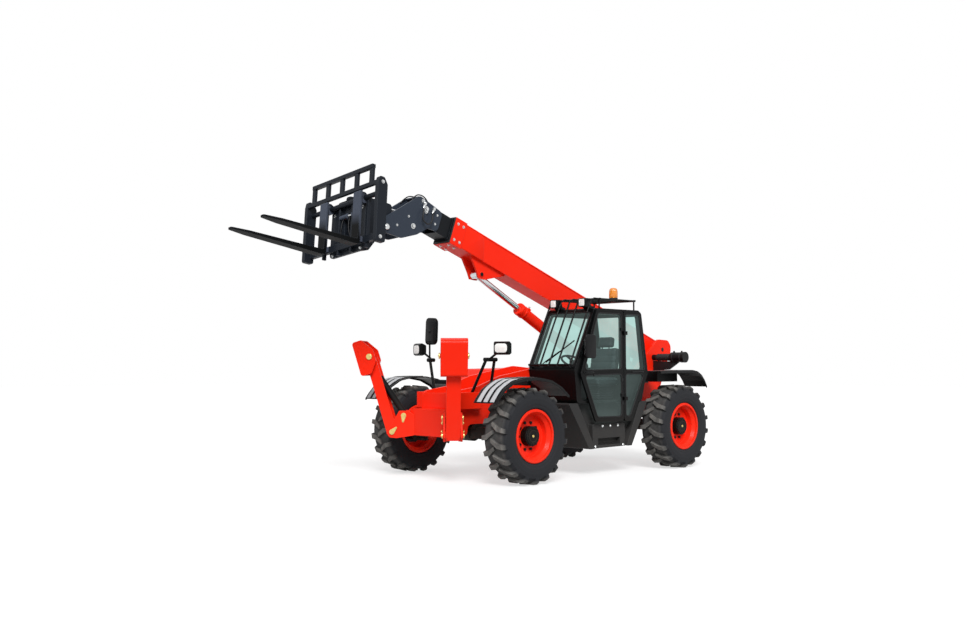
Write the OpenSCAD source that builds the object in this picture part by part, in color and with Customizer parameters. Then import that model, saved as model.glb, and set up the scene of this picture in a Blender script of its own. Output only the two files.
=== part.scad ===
// Telehandler on four steered wheels, boom partly raised, forks fitted, front stands folded.
// Millimetres. +X forward, +Y to the left (cab side), +Z up. Ground at z = 0.

/* [Layout] */
// Rear axle behind the origin
rear_axle = 2632.2; // [2500:1:2750]
// Distance between the axles
wheelbase = 3070; // [3000:5:3140]
// Distance between the wheel mid-planes
track = 2160; // [2120:5:2200]
// Distance of each kingpin from the middle
kingpin_y = 850; // [840:1:860]

/* [Wheels] */
// Tyre radius to the lug tips
tyre_r = 590; // [580:1:600]
// Tyre width
tyre_w = 400; // [390:1:410]
// Height of the tyre lugs
lug_h = 42; // [36:1:46]
// Lugs on each side of a tyre
lug_count = 18; // [16:1:20]
// Radius of the rim at the bead seat
bead_r = 305; // [302:1:308]
// Half width of the rim over its flanges
rim_half = 178; // [174:1:182]
// Radius of the hub nose
hub_r = 122; // [110:1:125]
// Bolt circle radius of the wheel nuts
bolt_r = 168; // [164:1:172]
// Wheel nuts on each wheel
nut_count = 10; // [8:1:12]
// Radius of the wheel spindle
spindle_r = 60; // [50:1:64]

/* [Chassis] */
// Outside of the chassis plates from the middle
plate_out = 300; // [295:1:310]
// Thickness of the chassis plates
plate_t = 35; // [25:1:40]
// Height of the axle pads under the plates
axle_top = 705; // [700:1:712]
// Underside of the chassis between the axles
belly_z = 560; // [520:5:580]
// Inner edge of the fenders from the middle
fender_y0 = 870; // [860:1:880]
// Outer edge of the fenders from the middle
fender_y1 = 1262; // [1250:1:1270]

/* [Cab] */
// Inner side of the cab from the middle
cab_y0 = 310; // [305:1:320]
// Outer side of the cab shell
cab_y1 = 1118; // [1110:1:1124]
// Wall of the cab shell
cab_wall = 30; // [24:1:36]
// Outer face of the door and quarter panel
door_y1 = 1150; // [1146:1:1156]
// Door split behind the front door
split_x = 1230; // [1220:1:1240]
// Cab floor height
floor_z = 960; // [950:1:970]

/* [Boom] */
// Boom inclination as it stands
boom_angle = 19.7; // [15:0.1:24]
// Boom pivot behind the rear axle
boom_px = 880; // [860:1:900]
// Boom pivot height
boom_pz = 1640; // [1620:1:1660]
// Width of the outer boom section
boom_w = 286; // [280:1:292]
// Height of the outer boom section
boom_h = 330; // [324:1:336]
// Wall of the boom sections
boom_wall = 8; // [6:0.5:9]
// Step between one section and the next on each side
boom_step = 13; // [12:0.5:14]
// Front end of the outer section from the pivot
boom_end = 4575; // [4550:5:4600]
// Boom pivot pin radius
boom_pin_r = 45; // [40:1:50]

/* [Forks] */
// Fork inclination as they stand
fork_tilt = 8; // [4:0.5:12]
// Length of the fork blades
fork_len = 1233; // [1150:1:1250]
// Distance of each fork from the middle
fork_y = 330; // [310:1:350]
// Fork width
fork_w = 130; // [110:1:140]
// Half width of the fork carriage
frame_half = 725; // [700:5:760]
// Sideways lean of the fork carriage as it stands
frame_lean = 6; // [0:0.5:8]
// Height of the fork heels above the feet of the carriage
heel_up = 60; // [40:5:80]

/* [Stands] */
// Stand pivot ahead of the front axle
stand_dx = 730; // [720:1:745]
// Stand pivot from the middle
stand_y = 570; // [560:1:580]
// Stand pivot height
stand_z = 600; // [590:1:610]
// Toe of the stands from square
stand_toe = 40; // [38:0.5:42]
// Lean of the folded stand arms
stand_lean = 17; // [14:0.5:20]
// Stand arm from its pivot to the foot pin
stand_len = 1005; // [990:1:1020]

/* [Fit] */
// Running clearance of pins and slides
run = 0.3; // [0.3:0.05:0.5]

/* [Hidden] */
$fn = 48;
plate_in = plate_out - plate_t;
wheel_y = track / 2;
nose_out = rim_half - 45;
disc_a = 20;
disc_t = 14;
knuckle_web = kingpin_y + 85;
tube1 = [boom_w, boom_h];
tube2 = [boom_w - 2 * boom_step, boom_h - 2 * boom_step];
tube3 = [boom_w - 4 * boom_step, boom_h - 4 * boom_step];
lift_base = [-520, 860];
lift_eye_u = 3880;
lift_eye_n = -320;
lift_eye = boom_at(lift_eye_u, lift_eye_n);
lift_vec = lift_eye - lift_base;
lift_len = norm(lift_vec);
lift_angle = atan2(lift_vec[1], lift_vec[0]);
lift_barrel_len = 2945;
head_u = 5560;
head_n = -420;
tilt_base = [4700, 40];
tilt_local = [-30, 250];
tilt_turn = fork_tilt - boom_angle;
tilt_eye = [head_u, head_n] + turn2(tilt_local, tilt_turn);
tilt_vec = tilt_eye - tilt_base;
tilt_len = norm(tilt_vec);
tilt_angle = atan2(tilt_vec[1], tilt_vec[0]);
tilt_barrel_len = 560;
stand_base = [-150, 210];
stand_eye_z = 800;
stand_eye = [stand_eye_z * sin(stand_lean), stand_eye_z * cos(stand_lean)];
stand_vec = stand_eye - stand_base;
stand_cyl = norm(stand_vec);
stand_cyl_lean = atan2(stand_vec[0], stand_vec[1]);
stand_barrel_len = 590;
front_x = wheelbase + 490;
side_box_top = 1110;

function turn2(p, a) = [p[0] * cos(a) - p[1] * sin(a), p[0] * sin(a) + p[1] * cos(a)];
function boom_at(u, n) = [-boom_px, boom_pz] + turn2([u, n], boom_angle);
function strip(p, q, a, b, m) =
  let (d = (q - p) / norm(q - p), n = [-d[1], d[0]])
  [p + d * m + n * a, q - d * m + n * a, q - d * m + n * b, p + d * m + n * b];
function unit(v) = v / norm(v);
// Closed outline with its corners rounded to radius r
function rounded(pts, r, n = 4) = [for (i = [0 : len(pts) - 1])
  let (k = len(pts), p = pts[i], a = pts[(i + k - 1) % k] - p, b = pts[(i + 1) % k] - p,
    half = acos(max(-1, min(1, unit(a) * unit(b)))) / 2,
    d = min(r / tan(half), 0.45 * min(norm(a), norm(b))),
    c = p + unit(unit(a) + unit(b) + [1e-9, 0]) * d / cos(half),
    s = p + unit(a) * d - c, e = p + unit(b) * d - c,
    a0 = atan2(s[1], s[0]), da = atan2(e[1], e[0]) - a0,
    turn = da > 180 ? da - 360 : da < -180 ? da + 360 : da)
  each half > 88 ? [p] : [for (j = [0 : n]) c + norm(s) * [cos(a0 + turn * j / n), sin(a0 + turn * j / n)]]];
function drop(pts, t) =
  concat(pts, [for (i = [len(pts) - 1 : -1 : 0]) [pts[i][0], pts[i][1] - t]]);

module at_row() translate([-rear_axle, 0, 0]) children();
module mirrored() mirror([0, 1, 0]) children();
module both() {
  children();
  mirror([0, 1, 0]) children();
}
module block(a, b) translate(a) cube(b - a);
// Plate with its outline in XZ, from y0 to y1
module plate(pts, y0, y1) translate([0, y1, 0]) rotate([90, 0, 0]) linear_extrude(y1 - y0) polygon(pts);
module y_rod(x, z, r, y0, y1) translate([x, y1, z]) rotate([90, 0, 0]) cylinder(r = r, h = y1 - y0);
module y_bore(x, z, r, y0, y1) y_rod(x, z, r, y0 - 1, y1 + 1);
// Plate with its outline in YZ, from x0 to x1
module x_plate(pts, x0, x1)
  translate([x0, 0, 0]) rotate([90, 0, 90]) linear_extrude(x1 - x0) polygon(pts);
module x_rod(y, z, r, x0, x1) translate([x0, y, z]) rotate([0, 90, 0]) cylinder(r = r, h = x1 - x0);
// Round bar from point p to point q
module bar(p, q, r) {
  v = q - p;
  translate(p) rotate([0, acos(v[2] / norm(v)), atan2(v[1], v[0])]) cylinder(r = r, h = norm(v));
}
module box_tube(size, wall, u0, u1) {
  difference() {
    block([u0, -size[0] / 2, -size[1] / 2], [u1, size[0] / 2, size[1] / 2]);
    block([u0 - 1, -size[0] / 2 + wall, -size[1] / 2 + wall], [u1 + 1, size[0] / 2 - wall, size[1] / 2 - wall]);
  }
}

// Frames of the moving pieces
module at_wheel(front, side)
  translate([front * wheelbase, side * wheel_y, tyre_r]) rotate([0, 0, side > 0 ? 0 : 180]) children();
module at_boom() translate([-boom_px, 0, boom_pz]) rotate([0, -boom_angle, 0]) children();
module at_lift() translate([lift_base[0], 0, lift_base[1]]) rotate([0, -lift_angle, 0]) children();
module at_tilt() at_boom() translate([tilt_base[0], 0, tilt_base[1]]) rotate([0, -tilt_angle, 0]) children();
module at_forks() at_boom() translate([head_u, 0, head_n]) rotate([0, -tilt_turn, 0]) children();
module at_frame() at_forks() rotate([frame_lean, 0, 0]) children();
module at_stand() translate([wheelbase + stand_dx, stand_y, stand_z]) rotate([0, 0, -stand_toe]) children();
module at_arm() at_stand() rotate([-stand_lean, 0, 0]) children();
module at_stand_cyl()
  at_stand() translate([0, stand_base[0], stand_base[1]]) rotate([-stand_cyl_lean, 0, 0]) children();

// Chassis
plate_pts = [[-657, 640], [-657, 960], [-869, 1457], [-1002, 1660], [-1002, 1760], [-930, 1840],
  [-680, 1850], [-200, 1480], [300, 1040], [1300, 1040], [1640, 1420], [1912, 1442],
  [2734, 1311], [3129, 1180], [front_x, 1120], [front_x, belly_z], [wheelbase + 240, belly_z],
  [wheelbase + 240, axle_top], [wheelbase - 240, axle_top], [wheelbase - 380, belly_z], [400, belly_z],
  [260, axle_top], [-260, axle_top], [-400, 640]];
module chassis() color("#c8201c") at_row() {
  difference() {
    both() plate(rounded(plate_pts, 90), plate_in, plate_out);
    y_bore(-760, 1560, 60, -plate_out, plate_out);
  }
  block([450, -plate_in - 1, belly_z], [wheelbase - 400, plate_in + 1, belly_z + 20]);
  block([front_x - 30, -plate_in - 1, belly_z], [front_x, plate_in + 1, 1100]);
  block([-657, -plate_in - 1, 660], [-627, plate_in + 1, 930]);
  both() block([wheelbase + 110, plate_out - 1, 905], [front_x - 20, 420, side_box_top]);
  block([-240, -plate_in - 1, axle_top], [240, plate_in + 1, axle_top + 20]);
  block([wheelbase - 240, -plate_in - 1, axle_top], [wheelbase + 240, plate_in + 1, axle_top + 20]);
  y_rod(-boom_px, boom_pz, boom_pin_r, -plate_out - 12, plate_out + 12);
  y_rod(lift_base[0], lift_base[1], 35, -plate_out - 8, plate_out + 8);
}

module stand_beam() color("#c8201c") at_row() {
  x0 = front_x;
  x_plate(rounded([[-345, belly_z], [345, belly_z], [345, 870], [300, 900], [-300, 900], [-345, 870]], 30),
    x0, x0 + 150);
  both() at_stand() {
    for (s = [-1, 1]) {
      x_plate([[-300, -40], [-60, -80], [30, -72], [72, -20], [72, 30], [20, 72], [-90, 270], [-210, 270],
        [-300, 200]], s > 0 ? 92 : -116, s > 0 ? 116 : -92);
      x_rod(0, 0, 35, s > 0 ? 60 : -126, s > 0 ? 126 : -60);
    }
    block([-110, -300, -40], [110, -260, 160]);
    x_rod(stand_base[0], stand_base[1], 22, -122, 122);
  }
}

module counterweight() color("#2b2c2e") at_row() difference() {
  union() {
    plate(rounded([[-657, 640], [-960, 640], [-1010, 720], [-1010, 900], [-960, 950], [-657, 950]], 40), -590, 590);
    block([-1110, -70, 700], [-1009, 70, 725]);
    block([-1110, -70, 795], [-1009, 70, 820]);
  }
  translate([-1065, 0, 690]) cylinder(r = 16, h = 140);
}

// Engine side
hood_out = [[800, 640], [2180, 640], [2280, 960], [2280, 1240], [2080, 1400], [900, 1420], [770, 1300],
  [770, 860]];
hood_in = [[812, 652], [2170, 652], [2268, 962], [2268, 1234], [2075, 1388], [905, 1408], [782, 1295],
  [782, 863]];
module engine_hood() color("#c8201c") at_row() difference() {
  plate(rounded(hood_out, 90), -1140, -plate_out);
  plate(rounded(hood_in, 80), -1128, -plate_out - 12);
  for (i = [0 : 9]) block([960 + i * 62, -1150, 1010], [994 + i * 62, -1120, 1270]);
  for (i = [0 : 8]) block([2260, -1020 + i * 66, 1010], [2290, -985 + i * 66, 1210]);
}
module engine_block() color("#3a3b3d") at_row()
  block([960, -960, 652], [2040, -460, 1240]);

// Axles and wheels
module axle(x) translate([x, 0, tyre_r]) {
  both() difference() {
    union() {
      block([-85, 0, -75], [85, kingpin_y - 40, 75]);
      translate([0, kingpin_y, -112]) cylinder(r = 75, h = 224);
      block([-120, plate_in - 10, 60], [120, plate_out + 10, axle_top - tyre_r]);
    }
    translate([0, kingpin_y, -113]) cylinder(r = 28 + run, h = 226);
  }
  y_rod(0, 0, 112, -170, 170);
}
module front_axle() color("#2b2c2e") at_row() axle(wheelbase);
module rear_axle() color("#2b2c2e") at_row() axle(0);

module knuckle() translate([0, -wheel_y, 0]) {
  for (s = [0, 1]) mirror([0, 0, s]) {
    translate([0, kingpin_y, 120]) cylinder(r = 70, h = 32);
    block([-70, kingpin_y, 120], [70, knuckle_web + 25, 152]);
  }
  translate([0, kingpin_y, -140]) cylinder(r = 28, h = 280);
  block([-85, knuckle_web, -152], [85, knuckle_web + 25, 152]);
  y_rod(0, 0, spindle_r, knuckle_web + 20, wheel_y - 12);
}
module hub() difference() {
  union() {
    y_rod(0, 0, 150, -105, -20);
    y_rod(0, 0, 190, -24, disc_a);
    y_rod(0, 0, hub_r, disc_a - 1, nose_out - 12);
    y_rod(0, 0, hub_r - 12, nose_out - 13, nose_out);
    for (i = [0 : nut_count - 1]) rotate([0, i * 360 / nut_count, 0]) {
      y_rod(bolt_r, 0, 10, disc_a - 1, disc_a + disc_t + 1);
      translate([bolt_r, disc_a + disc_t, 0]) rotate([-90, 0, 0]) cylinder(r = 17, h = 20, $fn = 24);
    }
  }
  y_rod(0, 0, spindle_r + run, -106, 0);
}
module rim() difference() {
  union() {
    rotate([-90, 0, 0]) rotate_extrude($fn = 72) polygon(rim_pts);
    y_rod(0, 0, bead_r - 42, disc_a, disc_a + disc_t);
  }
  y_rod(0, 0, hub_r + run, 0, 60);
  for (i = [0 : nut_count - 1]) rotate([0, i * 360 / nut_count, 0]) y_rod(bolt_r, 0, 10 + run, 0, 60);
}
rim_pts = [[bead_r, rim_half - 18], [bead_r + 23, rim_half - 18], [bead_r + 23, rim_half - 6],
  [bead_r + 15, rim_half], [bead_r - 9, rim_half], [bead_r - 11, 150], [bead_r - 43, 110],
  [bead_r - 43, -110], [bead_r - 11, -150], [bead_r - 9, -rim_half], [bead_r + 15, -rim_half],
  [bead_r + 23, 6 - rim_half], [bead_r + 23, 18 - rim_half], [bead_r, 18 - rim_half], [bead_r, -125],
  [bead_r - 33, -100], [bead_r - 33, 100], [bead_r, 125]];
tyre_half = [[bead_r + run, rim_half - 18 - run], [bead_r + 26, rim_half - 18 - run],
  [bead_r + 40, tyre_w / 2 - 20], [bead_r + 95, tyre_w / 2 - 3], [bead_r + 150, tyre_w / 2],
  [tyre_r - 85, tyre_w / 2 - 8], [tyre_r - lug_h - 18, tyre_w / 2 - 34], [tyre_r - lug_h, tyre_w / 2 - 70]];
tyre_in = [[tyre_r - lug_h - 34, 100], [tyre_r - 104, tyre_w / 2 - 40], [bead_r + 110, tyre_w / 2 - 24],
  [bead_r + 30, rim_half - 40], [bead_r + run, rim_half - 44]];
// One lug seen from outside: across the tread, then round the wheel
lug_pts = [[-14, -92], [-14, -44], [80, 22], [tyre_w / 2 - 6, 40], [tyre_w / 2 - 6, -14], [92, -36]];
lug_top = sqrt(pow(tyre_r, 2) - pow(92, 2));
lug_foot = tyre_r - 100;
module lug() intersection() {
  translate([0, 0, lug_foot]) linear_extrude(lug_top - lug_foot) polygon([for (q = lug_pts) [q[1], q[0]]]);
  x_plate([[-20, lug_foot + 30], [tyre_w / 2 - 30, lug_foot + 30], [tyre_w / 2 - 10, lug_foot],
    [tyre_w / 2 - 4, lug_foot], [tyre_w / 2 - 8, lug_top - 26], [tyre_w / 2 - 40, lug_top],
    [-20, lug_top]], -120, 120);
}
function flip(pts) = [for (i = [len(pts) - 1 : -1 : 0]) [pts[i][0], -pts[i][1]]];
module tyre() {
  rotate([-90, 0, 0]) rotate_extrude($fn = 72)
    polygon(concat(tyre_half, flip(tyre_half), flip(tyre_in), tyre_in));
  for (i = [0 : lug_count - 1]) {
    rotate([0, i * 360 / lug_count, 0]) lug();
    rotate([0, (i + 0.5) * 360 / lug_count, 0]) mirror([0, 1, 0]) lug();
  }
}
module knuckle_fl() color("#2b2c2e") at_row() at_wheel(1, 1) knuckle();
module knuckle_fr() color("#2b2c2e") at_row() at_wheel(1, -1) knuckle();
module knuckle_rl() color("#2b2c2e") at_row() at_wheel(0, 1) knuckle();
module knuckle_rr() color("#2b2c2e") at_row() at_wheel(0, -1) knuckle();
module hub_fl() color("#1d1e20") at_row() at_wheel(1, 1) hub();
module hub_fr() color("#1d1e20") at_row() at_wheel(1, -1) hub();
module hub_rl() color("#1d1e20") at_row() at_wheel(0, 1) hub();
module hub_rr() color("#1d1e20") at_row() at_wheel(0, -1) hub();
module rim_fl() color("#c8201c") at_row() at_wheel(1, 1) rim();
module rim_fr() color("#c8201c") at_row() at_wheel(1, -1) rim();
module rim_rl() color("#c8201c") at_row() at_wheel(0, 1) rim();
module rim_rr() color("#c8201c") at_row() at_wheel(0, -1) rim();
module tyre_fl() color("#26272a") at_row() at_wheel(1, 1) tyre();
module tyre_fr() color("#26272a") at_row() at_wheel(1, -1) tyre();
module tyre_rl() color("#26272a") at_row() at_wheel(0, 1) tyre();
module tyre_rr() color("#26272a") at_row() at_wheel(0, -1) tyre();

// Fenders
front_fender = [[3740, 1010], [3690, 1075], [3600, 1170], [3440, 1258], [3250, 1294], [3005, 1300],
  [2780, 1264], [2600, 1182], [2460, 1075]];
rear_fender = [[560, 1372], [-200, 1385], [-330, 1365], [-430, 1312], [-500, 1240], [-560, 1150]];
function lift_by(pts, t) = [for (q = pts) [q[0], q[1] + t]];
module fenders() color("#202124") at_row() both() {
  plate(rounded(drop(front_fender, 14), 160), fender_y0, fender_y1);
  plate(rounded(drop(front_fender, 34), 160), fender_y1 - 14, fender_y1);
  for (y = [fender_y0 + 95, fender_y0 + 205, fender_y0 + 315])
    plate(rounded(lift_by(drop([for (i = [0 : 5]) front_fender[i]], 8), 7), 160), y - 38, y + 38);
  block([2770, plate_out, 1196], [2840, fender_y0 + 30, 1252]);
  plate(rounded(drop(rear_fender, 14), 120), fender_y0, fender_y1);
  plate(rounded(drop(rear_fender, 36), 120), fender_y1 - 14, fender_y1);
  plate([[-340, 1190], [-120, 1190], [-80, 1366], [-380, 1332]], plate_out, plate_out + 60);
  block([-330, plate_out, 1215], [150, fender_y0 + 30, 1362]);
}
module air_cleaner() color("#1d1e20") at_row() {
  y_rod(-560, 1572, 44, plate_out, 650);
  y_rod(-560, 1572, 74, 640, 860);
  y_rod(-560, 1572, 80, 850, 890);
}

// Cab
cab_out = [[800, floor_z], [2150, floor_z], [2195, 1400], [1795, 2205], [835, 2205], [700, 1345]];
cab_in = [[830, floor_z + 30], [2118, floor_z + 30], [2160, 1395], [1775, 2168], [868, 2168], [736, 1345]];
screen = strip(cab_in[2], cab_in[3], -60, 30, 40);
screen_pane = strip(cab_in[2], cab_in[3], -24, -18, 40);
rear_cut = strip(cab_in[4], cab_in[5], -60, 30, 50);
rear_pane = strip(cab_in[4], cab_in[5], -24, -18, 50);
roof_cut = strip(cab_in[3], cab_in[4], -60, 30, 60);
roof_pane = strip(cab_in[3], cab_in[4], -24, -18, 60);
side_window = rounded([[860, 1420], [2080, 1420], [1745, 2110], [930, 2110]], 50);
door_hole = rounded([[1262, floor_z + 30], [2060, floor_z + 30], [2080, 1345], [1745, 2125], [1262, 2125]], 60);
quarter_hole = rounded([[800, 1380], [1205, 1380], [1205, 2125], [905, 2125]], 50);
quarter_pts = rounded([[700, 1345], [1063, 700], [split_x - 5, 700], [split_x - 5, 2184], [845, 2184]], 55);
quarter_up = rounded([[770, 1385], [1190, 1385], [1190, 2140], [890, 2140]], 45);
quarter_low = rounded([[790, 1335], [1100, 770], [1190, 770], [1190, 1335]], 45);
door_pts = rounded([[split_x + 5, 700], [1816, 713], [2112, 1339], [1785, 2184], [split_x + 5, 2184]], 55);
door_up = rounded([[split_x + 50, 1400], [2038, 1385], [1755, 2140], [split_x + 50, 2140]], 55);
door_low = rounded([[split_x + 50, 770], [1780, 775], [2035, 1320], [split_x + 50, 1335]], 55);
pane_y = door_y1 - 18;

post_x = wheelbase - 780;
base_pts = [[690, 925], [1020, 366], [1900, 360], [post_x, 940], [post_x, floor_z], [690, floor_z]];
module cab_base() color("#2a2b2d") at_row() difference() {
  union() {
    plate(rounded(base_pts, 40), plate_out, cab_y1 - 108);
    plate(rounded([[post_x, floor_z], [post_x - 160, floor_z], [1780, 360], [1900, 360], [post_x, 940]], 20),
      cab_y1 - 109, cab_y1 - 8);
    plate(rounded([[690, floor_z], [690, 925], [1020, 366], [1130, 366], [840, floor_z]], 20),
      cab_y1 - 109, cab_y1 - 8);
    plate(rounded([[1120, 366], [1790, 360], [1800, 680], [1130, 680]], 20), cab_y1 - 109, cab_y1 - 40);
  }
  block([1230, cab_y1 - 100, 400], [1690, cab_y1, 490]);
}
module cab_frame() color("#232427") at_row() {
  difference() {
    plate(rounded(cab_out, 50), cab_y0, cab_y1);
    plate(rounded(cab_in, 40), cab_y0 + cab_wall, cab_y1 - cab_wall);
    plate(screen, cab_y0 + 45, cab_y1 - 45);
    plate(rear_cut, cab_y0 + 60, cab_y1 - 60);
    plate(roof_cut, cab_y0 + 60, cab_y1 - 60);
    plate(side_window, cab_y0 - 1, cab_y0 + cab_wall + 1);
    plate(door_hole, cab_y1 - cab_wall - 1, cab_y1 + 1);
    plate(quarter_hole, cab_y1 - cab_wall - 1, cab_y1 + 1);
  }
  difference() {
    plate(quarter_pts, cab_y1, door_y1);
    plate(quarter_up, cab_y1 - 1, door_y1 + 1);
    plate(quarter_low, cab_y1 - 1, door_y1 + 1);
  }
  for (z = [980, 1860]) difference() {
    union() {
      block([split_x - 60, door_y1, z], [split_x, door_y1 + 20, z + 50]);
      translate([split_x, door_y1 + 16, z]) cylinder(r = 15, h = 50);
    }
    translate([split_x, door_y1 + 16, z - 1]) cylinder(r = 7 + run, h = 52);
  }
}
module cab_glass() color([0.55, 0.68, 0.62, 0.5]) at_row() {
  plate(screen_pane, cab_y0 + 45, cab_y1 - 45);
  plate(rear_pane, cab_y0 + 60, cab_y1 - 60);
  plate(roof_pane, cab_y0 + 60, cab_y1 - 60);
  plate(side_window, cab_y0 + 12, cab_y0 + 18);
  plate(quarter_up, pane_y, pane_y + 6);
  plate(quarter_low, pane_y, pane_y + 6);
}
guard_y = [cab_y0 + 50, 545, 700, 850, cab_y1 - 50];
guard_z = 2335;
// Outer face of the windscreen frame at height z
function screen_x(z) = run + cab_out[2][0]
  - (z - cab_out[2][1]) * (cab_out[2][0] - cab_out[3][0]) / (cab_out[3][1] - cab_out[2][1]);
module cab_guard() color("#1d1e20") at_row() {
  for (y = guard_y) {
    bar([2238, y, 1440], [1805, y, guard_z - 23], 12);
    bar([1805, y, guard_z - 23], [1735, y, guard_z], 12);
    bar([1735, y, guard_z], [880, y, guard_z], 12);
    for (q = [[1805, guard_z - 23], [1735, guard_z]]) y_rod(q[0], q[1], 12.8, y - 12.6, y + 12.6);
  }
  for (x = [900, 1640]) y_rod(x, guard_z, 14, guard_y[0] - 24, guard_y[4] + 24);
  for (x = [900, 1640], y = [guard_y[0], guard_y[4]]) bar([x, y, 2205], [x, y, guard_z], 10.5);
  y_rod(2230, 1456, 14, guard_y[0] - 24, guard_y[4] + 24);
  for (y = [guard_y[0], guard_y[4]])
    plate([[screen_x(1420), 1420], [2238, 1420], [2238, 1436], [screen_x(1436), 1436]], y - 16, y + 16);
  block([935, 690, guard_z - 8], [1035, 862, guard_z + 14]);
}
module beacon() color("#f08a1c") at_row() translate([985, 780, guard_z + 14]) {
  cylinder(r = 34, h = 36);
  translate([0, 0, 36]) cylinder(r = 62, h = 120);
  translate([0, 0, 156]) cylinder(r = 48, h = 24);
}
module lamps() color("#e8e8e4") at_row() for (y = [470, 975])
  plate(rounded([[1700, 2205], [1788, 2205], [1800, 2222], [1885, 2222], [1885, 2336], [1800, 2336], [1762, 2240],
    [1700, 2228]], 10), y - 58, y + 58);
lamp_x = wheelbase + 110;
module lamp_head(y, turn) translate([lamp_x, y, 0]) rotate([0, 0, turn])
  plate(rounded([[-46, 1600], [20, 1578], [50, 1596], [50, 1730], [20, 1748], [-46, 1718]], 16), -100, 100);
module lamp_stands() color("#1d1e20") at_row() {
  difference() {
    union() {
      bar([lamp_x + 50, 556, 1522], [lamp_x + 115, 350, 1080], 19);
      bar([lamp_x - 300, plate_out - 20, 1185], [lamp_x - 95, 556, 1522], 19);
      bar([lamp_x, -580, 1520], [lamp_x + 115, -350, 1080], 19);
    }
    block([lamp_x - 530, -plate_out, 900], [lamp_x + 270, plate_out, 1600]);
    block([lamp_x, -420, 900], [lamp_x + 270, 420, side_box_top]);
  }
  x_rod(556, 1522, 25, lamp_x - 130, lamp_x + 80);
  bar([lamp_x, 556, 1522], [lamp_x, 800, 1660], 14);
  lamp_head(800, 20);
  x_rod(-580, 1520, 26, lamp_x - 70, lamp_x + 40);
  bar([lamp_x - 42, -582, 1522], [lamp_x - 12, -790, 1656], 14);
  lamp_head(-790, -15);
  bar([lamp_x + 3, -584, 1523], [lamp_x + 3, -588, 1905], 12);
  x_plate(rounded([[-690, 1725], [-480, 1725], [-465, 2080], [-670, 2090]], 70), lamp_x - 45, lamp_x - 5);
}
module seat() color("#1e1f21") at_row() {
  block([1130, 540, floor_z + 30], [1480, 900, 1180]);
  block([1090, 480, 1180], [1560, 960, 1300]);
  plate([[1090, 1300], [1230, 1300], [1130, 1860], [1010, 1850]], 490, 950);
}
module console() color("#2a2b2d") at_row() {
  block([1830, 420, floor_z + 30], [2060, 1000, 1330]);
  bar([1840, 710, 1300], [1740, 710, 1480], 28);
  translate([1735, 710, 1490]) rotate([0, -29, 0]) rotate_extrude() translate([180, 0]) circle(r = 15);
  translate([1735, 710, 1490]) rotate([0, -29, 0]) {
    cylinder(r = 45, h = 24, center = true);
    block([-180, -18, -8], [180, 18, 8]);
  }
}

// Door
module door() color("#232427") at_row() {
  difference() {
    plate(door_pts, cab_y1 + 5, door_y1);
    plate(door_up, cab_y1, door_y1 + 1);
    plate(door_low, cab_y1, door_y1 + 1);
  }
  for (z = [980, 1860]) {
    block([split_x + 17, door_y1 - 1, z + 51], [split_x + 80, door_y1 + 20, z + 95]);
    block([split_x, door_y1 + 6, z + 51], [split_x + 30, door_y1 + 20, z + 95]);
    translate([split_x, door_y1 + 16, z + 51]) cylinder(r = 15, h = 44);
    translate([split_x, door_y1 + 16, z + 4]) cylinder(r = 7, h = 60);
  }
}
module door_glass() color([0.55, 0.68, 0.62, 0.5]) at_row() {
  plate(door_up, pane_y, pane_y + 6);
  plate(door_low, pane_y, pane_y + 6);
}
module side_mirror() color("#1d1e20") at_row() {
  bar([1962, door_y1, 1660], [1962, door_y1 + 50, 1660], 12);
  block([1895, door_y1 + 45, 1540], [2095, door_y1 + 85, 1850]);
}

// Boom
module boom_outer() color("#c8201c") at_row() at_boom() difference() {
  union() {
    box_tube(tube1, boom_wall, -120, boom_end);
    difference() {
      block([boom_end - 200, -boom_w / 2 - 14, -boom_h / 2 - 18], [boom_end, boom_w / 2 + 14, boom_h / 2 + 12]);
      block([boom_end - 201, -tube2[0] / 2 - run, -tube2[1] / 2 - run],
        [boom_end + 1, tube2[0] / 2 + run, tube2[1] / 2 + run]);
    }
    y_rod(0, 0, 110, -plate_in + 6, plate_in - 6);
    for (s = [-1, 1]) plate([[lift_eye_u - 420, -boom_h / 2 + 4], [lift_eye_u - 90, lift_eye_n - 40],
      [lift_eye_u + 20, lift_eye_n - 66], [lift_eye_u + 80, lift_eye_n], [lift_eye_u + 260, -boom_h / 2 + 4]],
      s > 0 ? 70 : -100, s > 0 ? 100 : -70);
    for (s = [-1, 1]) y_rod(lift_eye_u, lift_eye_n, 34, s > 0 ? 62 : -110, s > 0 ? 110 : -62);
  }
  y_bore(0, 0, boom_pin_r + run, -plate_in, plate_in);
}
module shoes(inner, outer, u0, u1) difference() {
  block([u0, -outer[0] / 2 + boom_wall + run, -outer[1] / 2 + boom_wall + run],
    [u1, outer[0] / 2 - boom_wall - run, outer[1] / 2 - boom_wall - run]);
  block([u0 - 1, -inner[0] / 2 + 2, -inner[1] / 2 + 2], [u1 + 1, inner[0] / 2 - 2, inner[1] / 2 - 2]);
}
module boom_mid() color("#1d1e20") at_row() at_boom() {
  box_tube(tube2, boom_wall, 150, boom_end + 30);
  shoes(tube2, tube1, 150, 330);
  difference() {
    block([boom_end - 60, -tube2[0] / 2 + 2, -tube2[1] / 2 + 2], [boom_end + 30, tube2[0] / 2 - 2, tube2[1] / 2 - 2]);
    block([boom_end - 61, -tube3[0] / 2 - run, -tube3[1] / 2 - run],
      [boom_end + 31, tube3[0] / 2 + run, tube3[1] / 2 + run]);
  }
}
head_pts = [[4800, 128], [4990, 150], [5212, 171], [5648, -345], [5645, -430], [5528, -489], [5297, -448],
  [5095, -309], [4960, -160], [4800, -130]];
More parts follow.
